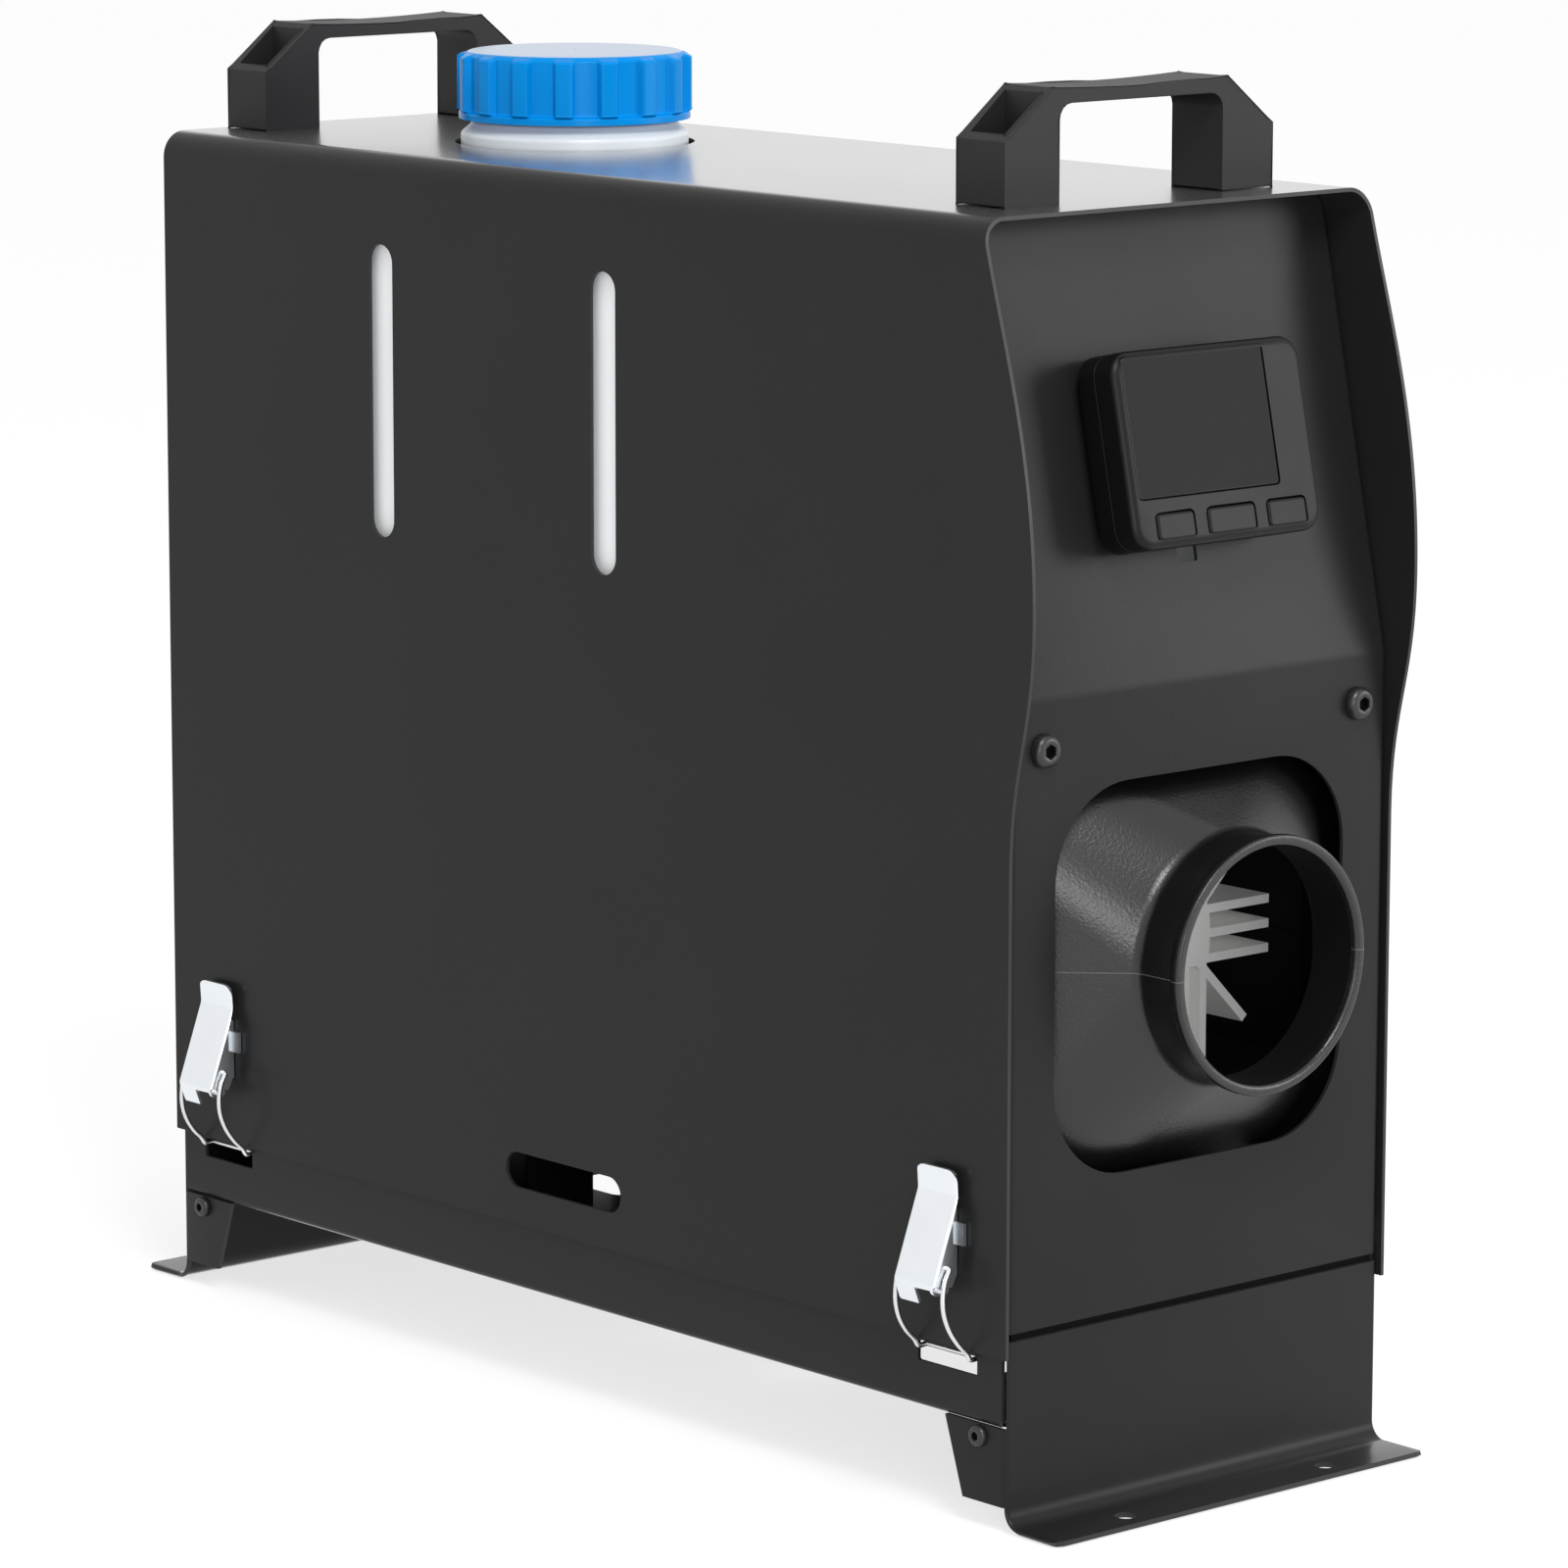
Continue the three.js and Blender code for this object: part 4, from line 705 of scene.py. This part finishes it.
# Controller, in its own millimetres: depth out of the panel, across, and up along the lean.
control = {
    "origin": (180.77, 301.5), "lean": 12.2, "width": 74.0, "height": 56.0, "corner": 7.0, "split": 11.15,
    "depth": 19.0, "pillow": 2.6, "screen": (-6.0, 6.2, 56.0, 40.5, 1.5), "recess": 0.7,
    "keys": {"down": (-21.0, 14.5), "power": (1.0, 18.5), "up": (23.0, 15.0)},  # place across, width
    "keyZ": -22.0, "keyHeight": 7.6, "keyGap": 0.45, "keyDepth": 2.2, "proud": 0.4,
    "keyCorner": 1.4, "keyPillow": 0.9, "holeCorner": 1.7, "windowGap": 0.4, "windowSoft": 0.25,
    # rings of the back shell: depth, width, height, corner
    "back": [(0.3, 67, 49, 5), (3.6, 67, 49, 5), (4.2, 73.4, 55.4, 6.6), (4.7, 74, 56, 7),
             (10.85, 74, 56, 7)],
}


# Controller millimetres (depth, across, up) to case millimetres: turned back by the lean, moved.
def onControl(local):
    lean = math.radians(control["lean"])
    x, z = control["origin"]
    depth, across, up = np.reshape(local, (-1, 3)).T
    return np.stack([x + depth * math.cos(lean) - up * math.sin(lean), across,
                     z + depth * math.sin(lean) + up * math.cos(lean)], -1)


# Rings for rows of depth, width, height, corner.
def rectRings(steps, middle=(0.0, 0.0), cornerSteps=6):
    rings = []
    for depth, width, height, corner in steps:
        loop = roundRect(middle, width, height, corner, cornerSteps)
        rings.append(np.column_stack([np.full(len(loop), depth), loop]))
    return np.array(rings)


# Straight side, then a quarter ellipse: inset = reach (1 - cos), depth rises by 3/4 reach sin.
def pillowRows(width, height, corner, start, depth, reach, steps=6):
    rows = [(start, width, height, corner)]
    tall, smallest = reach * 0.75, 0.6  # of the ellipse, and of the corners
    for turn in np.linspace(0, math.pi / 2, steps):
        inset = reach * (1 - math.cos(turn))
        rows.append((depth - tall + tall * math.sin(turn), width - 2 * inset, height - 2 * inset,
                     max(corner - inset, smallest)))
    return rows


# Front shell: pillow sides, then a face with the screen recess and the key holes sunk into it.
def makeControlFront():
    c = control
    rows = pillowRows(c["width"], c["height"], c["corner"], c["split"], c["depth"], c["pillow"])
    rings = rectRings(rows, cornerSteps=8)
    outer = rings.reshape(-1, 3)
    faces = gridFaces(*rings.shape[:2])
    faces.append(list(range(rings.shape[1]))[::-1])
    y, z, width, height, corner = c["screen"]
    holes = [roundRect((y, z), width, height, corner, 5)]
    depths = [c["recess"] + 0.1]
    for across, wide in c["keys"].values():
        holes.append(roundRect((across, c["keyZ"]), wide + 2 * c["keyGap"],
                               c["keyHeight"] + 2 * c["keyGap"], c["holeCorner"], 5))
        depths.append(c["keyDepth"])
    flat, triangles = cutSheet(rings[-1][:, 1:], holes)
    front = np.column_stack([np.full(len(flat), c["depth"]), flat])
    points = [outer, front]
    faces += (triangles + len(outer)).tolist()
    # The floors of the screen recess and the key holes get painted shade.
    floors = []
    start = len(outer) + len(front)
    for hole, deep in zip(holes, depths):
        rim = np.column_stack([np.full(len(hole), c["depth"]), hole])
        floor = rim - (deep, 0, 0)
        n = len(hole)
        faces += [quad[::-1] for quad in gridFaces(2, n, start)]
        floors.append(len(faces))
        faces.append(list(range(start + n, start + 2 * n)))
        points += [rim, floor]
        start += 2 * n
    points, faces = merged(np.vstack(points), faces)
    build("controller_front_shell", onControl(points), faces, [controlPlastic, paintedShade],
          slots=np.isin(np.arange(len(faces)), floors), stands=["controller_front"],
          edge=0.25)


# Back shell, window and keys, each a stack of rounded rectangles.
def makeControlRest():
    c = control
    rings = rectRings(c["back"], cornerSteps=8)
    build("controller_back_shell", onControl(rings), closedRings(rings), [controlPlastic],
          stands=["controller_back"], edge=0.2)
    y, z, width, height, _ = c["screen"]
    front, soft = c["depth"] - 0.05, c["windowSoft"]
    width, height = width - 2 * c["windowGap"], height - 2 * c["windowGap"]
    rows = [(front - c["recess"], width, height, 1.2), (front - soft, width, height, 1.2),
            (front, width - 2 * soft, height - 2 * soft, 1.0)]
    rings = rectRings(rows, (y, z), 5)
    faces = closedRings(rings)
    # The chamfer ring round the window gets the lighter edge coat as a painted glint.
    build("display_window", onControl(rings), faces, [smoked, edgeWearAndHighlight],
          stands=["lcd_window"], slots=np.arange(len(faces)) // rings.shape[1] == 1)
    for key, (across, wide) in c["keys"].items():
        rows = pillowRows(wide, c["keyHeight"], c["keyCorner"], c["depth"] - c["keyDepth"] + 1.0,
                          c["depth"] + c["proud"], c["keyPillow"], 5)
        rings = rectRings(rows, (across, c["keyZ"]), 5)
        build(f"button_{key}_cap", onControl(rings), closedRings(rings), [controlPlastic],
              body=f"{key}_key", stands=[f"button_{key}"])


makeControlFront()
makeControlRest()
print("controller done")

# Base tray.
tray = {
    "half": 193.0, "face": 74.9, "bottom": 30.0, "wall": 60.0, "endWall": 68.0, "bend": 2.2, "sheet": 1.2,
    # From this height up the end walls are painted shade, where they sit in the dark behind foot and panel.
    "shade": 50.0,  # the end walls are in the dark from here up, behind foot and panel
    "window": (169.85, 24.9, 43.6, 49.6), "vents": ((125, -15, 50, 70), (-108.5, 40.5, 31, 35)),
    "stubs": ((20.0, 14.0), (-38.5, 12.0)),
    "beyond": (200, 90),  # fold lines run past the sheet, to these X and Y
}


# The flat sheet is bent up on all four sides, and its height is the greater of the two depths.
def makeTray():
    t = tray
    b = t["bend"]
    quarter = b * math.pi / 2

    # Distance across the flat sheet of a height on a wall.
    def flatAt(half, height):
        return flatAcross(half, b, height - t["bottom"])

    farEnd, farSide = flatAt(t["half"], t["endWall"]), flatAt(t["face"], t["wall"])
    cornerX, cornerY = t["half"] - b - 0.4, t["face"] - b - 0.4
    right = [(cornerX, -cornerY), (farEnd, -cornerY + 0.6), (farEnd, cornerY - 0.6), (cornerX, cornerY)]
    top = [(t["half"] - 0.2, t["face"] - b + quarter), (t["half"] - 0.2, farSide),
           (-t["half"] + 0.2, farSide), (-t["half"] + 0.2, t["face"] - b + quarter)]
    right, top = np.array(right), np.array(top)
    outline = np.vstack([right, top, (right * (-1, -1)), (top * (-1, -1))])
    x, width, low, high = t["window"]
    middle = (flatAt(t["face"], low) + flatAt(t["face"], high)) / 2
    holes = [roundRect((sx * x, sy * middle), width, high - low, 0.6, 3) for sx in (1, -1) for sy in (1, -1)]
    holes += [roundRect(vent[:2], vent[2], vent[3], 3, 4) for vent in t["vents"]]
    holes += [arc((x, 0), radius, 0, 350, 36) for x, radius in t["stubs"]]
    folds = []
    farX, farY = t["beyond"]
    for sign in (1, -1):
        folds += foldLines(-farX, farX, sign * (t["face"] - b), sign * (t["face"] - b + quarter), 5)
        folds += foldLines(-farY, farY, sign * (t["half"] - b), sign * (t["half"] - b + quarter), 5, True)
        folds += foldLines(-farY, farY, sign * flatAt(t["half"], t["shade"]), 0, 1, True)
    flat, triangles = cutSheet(outline, holes, folds)
    x, riseX = bent(flat[:, 0], t["half"], b)
    y, riseY = bent(flat[:, 1], t["face"], b)
    points = np.stack([x, y, t["bottom"] + np.maximum(riseX, riseY)], -1)
    middles = points[triangles].mean(1)
    # End-wall faces above the shade height get painted shade.
    shaded = (np.abs(middles[:, 0]) > t["half"] - 0.3) & (middles[:, 2] > t["shade"])
    build("base_tray_sheet", points, triangles, [paint, edgeWearAndHighlight, paintedShade], stands=["base_tray"],
          sheet=t["sheet"], edge=0.2, slots=2 * shaded, flip=True)


makeTray()
print("tray done")

# Toggle latches, in millimetres from the lever's pin.
latch = {
    "x": 169.85, "face": 76.4, "z": 69.3, "skin": 1.0, "half": 8.5, "bend": 1.1,
    "path": ((-9.7, -4.9), (-12.0, 1.2), (-2.9, 26.4), (-3.4, 33.6)), "wire": 0.75,
    "bail": ((6.7, -6.8, 6.2), (9.2, -6.8, 6.2), (9.7, -7.0, 5.6), (9.7, -8.4, 3.0), (9.8, -9.3, -1.2),
             (10.1, -9.2, -6.2), (10.5, -7.5, -11.2), (10.8, -4.5, -15.6), (10.9, -1.25, -18.8),
             (10.9, 0.4, -21.0), (10.9, 3.05, -21.0), (10.1, 3.85, -21.0), (0.0, 3.85, -21.0)),
    # length of each bend along the lever, depth of its cheeks, corners at its tip
    "softBend": 1.6, "cheek": 7.2, "corner": 3.5,
}


# Latch millimetres to case millimetres: x along the case, y into it, z up from the lever's pin.
def onLatch(local, end, side):
    x, y, z = np.reshape(local, (-1, 3)).T
    turn = 1 if side < 0 else -1
    return np.stack([end * latch["x"] + turn * x, side * latch["face"] + turn * y, latch["z"] + z], -1)


# The flat lever with its two cheeks and the short tongue, folded along its sides and then
# carried along its bent side line.
def leverSheet():
    points = np.array(latch["path"])
    runs = np.diff(points, axis=0)
    lengths = np.linalg.norm(runs, axis=1)
    headings = np.arctan2(runs[:, 1], runs[:, 0])
    soft = latch["softBend"]
    moves = []
    for number, length in enumerate(lengths):
        cut = soft / 2 * ((number > 0) + (number < len(lengths) - 1))
        moves.append((length - cut, 0))
        if number < len(lengths) - 1:
            moves.append((soft, headings[number + 1] - headings[number]))
    stations = np.concatenate([[0], np.cumsum(lengths)])
    half, bend = latch["half"], latch["bend"]
    reach = flatAcross(half, bend, latch["cheek"])
    tongue, knee, tip = stations[1], stations[2], stations[3]
    pin = tongue + 0.2
    corner = latch["corner"]
    edge = np.vstack([
        [(reach, pin + 1.5), (reach + 0.5, pin + 5.5), (reach - 2.5, pin + 10), (half + 0.6, pin + 19),
         (half, knee)], arc((half - corner, tip - corner), corner, 0, 90, 5)])
    outline = np.vstack([
        [(0.2, 0.0), (0.2, tongue - 1.2), (half - 0.6, tongue - 1.0), (half, pin)], bothHalves(edge),
        [(-half + 0.2, pin), (-half + 0.4, 0.8), (-half + 1.2, 0.0)]])
    folds = bendLines(-2, tip + 2, half, bend, 5, upright=True)
    for station in stations[1:3]:
        folds += foldLines(-reach - 2, reach + 2, station - soft / 2, station + soft / 2, 4)
    flat, triangles = cutSheet(outline, [], folds)
    x, depth = bent(flat[:, 0], half, bend)
    spot, facing = follow(points[0], headings[0], moves, flat[:, 1])
    y = spot[:, 0] + depth * np.sin(facing)
    z = spot[:, 1] - depth * np.cos(facing)
    return np.stack([x, y, z], -1), triangles


# Catmull-Rom curve through the points, half of 2b + (c-a)t + (2a-5b+4c-d)t^2 + (3b-a-3c+d)t^3.
def smoothLine(points, between=5):
    p = np.asarray(points, float)
    p = np.vstack([2 * p[0] - p[1], p, 2 * p[-1] - p[-2]])
    t = np.linspace(0, 1, between, endpoint=False)[:, None]
    parts = [0.5 * (2 * b + (c - a) * t + (2 * a - 5 * b + 4 * c - d) * t ** 2
                    + (3 * b - a - 3 * c + d) * t ** 3)
             for a, b, c, d in zip(p[:-3], p[1:-2], p[2:-1], p[3:])]
    return np.vstack(parts + [p[-2:-1]])


# Rings round a line, each square to it: middle + radius (cos side + sin other).
def tube(points, radius, count=10):
    ahead = np.gradient(points, axis=0)
    ahead /= np.linalg.norm(ahead, axis=1)[:, None]
    side = np.zeros_like(ahead)
    last = np.array([0.0, 0.0, 1.0]) if abs(ahead[0][2]) < 0.9 else np.array([0.0, 1.0, 0.0])
    for i, direction in enumerate(ahead):
        last = last - direction * (last @ direction)
        last /= np.linalg.norm(last)
        side[i] = last
    other = np.cross(ahead, side)
    turn = np.linspace(0, 2 * np.pi, count, endpoint=False)
    return (points[:, None] + radius * (np.cos(turn)[None, :, None] * side[:, None]
                                        + np.sin(turn)[None, :, None] * other[:, None]))


# Four levers and four wires from one of each, turned about Z for the far side.
def makeLatches():
    leverPoints, leverFaces = leverSheet()
    half = np.array(latch["bail"])
    whole = smoothLine(np.vstack([half, (half * (-1, 1, 1))[::-1][1:]]))
    wire = tube(whole, latch["wire"])
    wireFaces = closedRings(wire)
    for end, side in [(e, s) for e in ends for s in sides]:
        label = f"{end}_{side}"
        build(f"latch_lever_{label}", onLatch(leverPoints, ends[end], sides[side]), leverFaces, [zinc],
              body=f"lever_{label}", stands=[f"latch_lever_{label}"], sheet=latch["skin"],
              edge=0.2)
        build(f"latch_wire_{label}", onLatch(wire, ends[end], sides[side]), wireFaces, [steel],
              body=f"bail_{label}", stands=[f"latch_bail_{label}"])


makeLatches()
print("latches done")

# Screws: place, radius, height and key of each kind, and what their heads share.
screws = {
    "panel": (194.8, 62.5, 223.5, 4.9, 2.8, 1.75), "foot": (183.5, 75.2, 26.6, 3.2, 1.7, 1.1),
    "count": 48, "flatTop": 0.62, "straight": 0.25,  # shares of the radius and of the height
    "socket": ((1.12, 1.0, 0), (1.0, 1.0, -0.15), (0.98, 0.35, 0)),  # spread, height share, offset
}


# Rings of a button head along +Z: a rounded dome, then a six-sided socket with a flat floor.
# The socket's radius is key / cos(angle from the middle of its side).
def screwHead(radius, high, key):
    count, top, side = screws["count"], screws["flatTop"], screws["straight"]
    turn = np.linspace(0, 2 * np.pi, count, endpoint=False)
    sixSided = key / np.cos((turn + np.pi / 6) % (np.pi / 3) - np.pi / 6)
    dome = [(radius, 0.0), (radius, side * high)]
    dome += [(radius * (top + (1 - top) * math.cos(a)), high * (side + (1 - side) * math.sin(a)))
             for a in np.linspace(0.2, math.pi / 2, 7)]
    rings = [np.stack([r * np.cos(turn), r * np.sin(turn), np.full(count, z)], -1) for r, z in dome]
    for spread, share, offset in screws["socket"]:
        rings.append(np.stack([spread * sixSided * np.cos(turn), spread * sixSided * np.sin(turn),
                               np.full(count, high * share + offset)], -1))
    return np.moveaxis(np.array(rings), -1, 0)


# Two screws in the front panel, pointing along +X, and one in each gusset of the feet, pointing out.
def makeScrews():
    x, y, z, *head = screws["panel"]
    a, b, out = screwHead(*head)
    made = {f"panel_screw_{side}": (x + out, sides[side] * y + a, z + b) for side in sides}
    x, y, z, *head = screws["foot"]
    a, b, out = screwHead(*head)
    made |= {f"foot_screw_{end}_{side}": (ends[end] * x + a, sides[side] * (y + out), z - sides[side] * b)
             for end in ends for side in sides}
    for name, axes in made.items():
        rings = np.stack(axes, -1)
        faces = closedRings(rings)
        # The socket's walls and floor get painted shade.
        socketStart = (len(rings) - len(screws["socket"])) * screws["count"]
        build(f"{name}_head", rings.reshape(-1, 3), faces, [darkScrew, paintedShade],
              stands=[name], slots=[face[0] >= socketStart for face in faces])


makeScrews()
print("screws done")

# Floor, light and camera.
studio = {
    "floorSize": 30.0, "floorDrop": 0.0002, "floorShade": 0.36, "floorGlow": 0.72, "worldSoft": 0.7,
    # place and aim in metres, size in metres, power in watts
    "lamps": {"key softbox": ((1.45, -0.7, 1.9), (0.1, 0, 0.2), 0.7, 26),
              "front softbox": ((2.0, 1.9, 0.7), (0.2, 0, 0.2), 1.2, 21),
              "camera softbox": ((1.75, -1.1, 0.5), (0.2, 0, 0.16), 0.5, 7)},
}


# Pale floor that keeps the shadow, and a world that is white to what looks at it and softer as light.
def makeStage():
    size, drop = studio["floorSize"], -studio["floorDrop"]
    data = bpy.data.meshes.new("floor")
    data.from_pydata([(-size, -size, drop), (size, -size, drop), (size, size, drop), (-size, size, drop)],
                     [], [(0, 1, 2, 3)])
    floor = addObject("floor", data)
    pale = bpy.data.materials.new("pale floor")
    pale.use_nodes = True
    shader = pale.node_tree.nodes["Principled BSDF"]
    for socket, value in {"Base Color": (*(studio["floorShade"],) * 3, 1), "Roughness": 1.0,
                          "Specular IOR Level": 0.0, "Emission Color": (1, 1, 1, 1),
                          "Emission Strength": studio["floorGlow"]}.items():
        shader.inputs[socket].default_value = value
    data.materials.append(pale)

    world = bpy.data.worlds.new("studio")
    bpy.context.scene.world = world
    world.use_nodes = True
    tree = world.node_tree
    tree.nodes.clear()
    out = addNode(tree, "OutputWorld")
    white = addNode(tree, "Background", {"Color": (1, 1, 1, 1)})
    soft = addNode(tree, "Background", {"Color": (1, 1, 1, 1), "Strength": studio["worldSoft"]})
    path = addNode(tree, "LightPath")
    seenOrMirrored = addNode(tree, "Math", operation="MAXIMUM")
    seenAnyway = addNode(tree, "Math", operation="MAXIMUM")
    mix = addNode(tree, "MixShader")
    join(tree, (path, "Is Camera Ray", seenOrMirrored, 0), (path, "Is Glossy Ray", seenOrMirrored, 1),
         (seenOrMirrored, 0, seenAnyway, 0), (path, "Is Transmission Ray", seenAnyway, 1),
         (seenAnyway, 0, mix, "Fac"), (soft, 0, mix, 1), (white, 0, mix, 2), (mix, 0, out, "Surface"))

    for name, (spot, aim, size, power) in studio["lamps"].items():
        light = bpy.data.lights.new(name, "AREA")
        light.size = size
        light.energy = power
        lamp = addObject(name, light)
        lamp.location = spot
        lamp.rotation_euler = (Vector(aim) - Vector(spot)).to_track_quat("-Z", "Y").to_euler()


# Place in case millimetres, angles in degrees, focal length in the photograph's pixels.
photoView = {
    "place": (1596.25, -1390.18, 556.17), "turn": 48.6993, "pitch": 10.057, "roll": 0.0844,
    "focal": 7172.9, "imageWidth": 1600, "sensor": 36.0,
}


# The camera fitted to the photograph, without shift: ahead, right and up from its turn, pitch and roll.
def makeCamera():
    v = photoView
    turn, pitch, roll = (math.radians(v[name]) for name in ("turn", "pitch", "roll"))
    ahead = np.array([-math.sin(turn) * math.cos(pitch), math.cos(turn) * math.cos(pitch), -math.sin(pitch)])
    right = np.array([math.cos(turn), math.sin(turn), 0.0])
    up = np.cross(right, ahead)
    right, up = (right * math.cos(roll) + up * math.sin(roll),
                 up * math.cos(roll) - right * math.sin(roll))
    data = bpy.data.cameras.new("photo view")
    data.sensor_width = v["sensor"]
    data.lens = v["focal"] / v["imageWidth"] * v["sensor"]
    data.clip_end = 100
    camera = addObject("photo view", data)
    axes = np.column_stack([np.vstack([right, up, -ahead]).T, place(v["place"])])
    camera.matrix_world = Matrix(axes.tolist() + [[0, 0, 0, 1]])
    bpy.context.scene.camera = camera


makeStage()
makeCamera()
view = bpy.context.scene.view_settings
view.view_transform = "Standard"
view.look = "None"
print("stage and camera done")
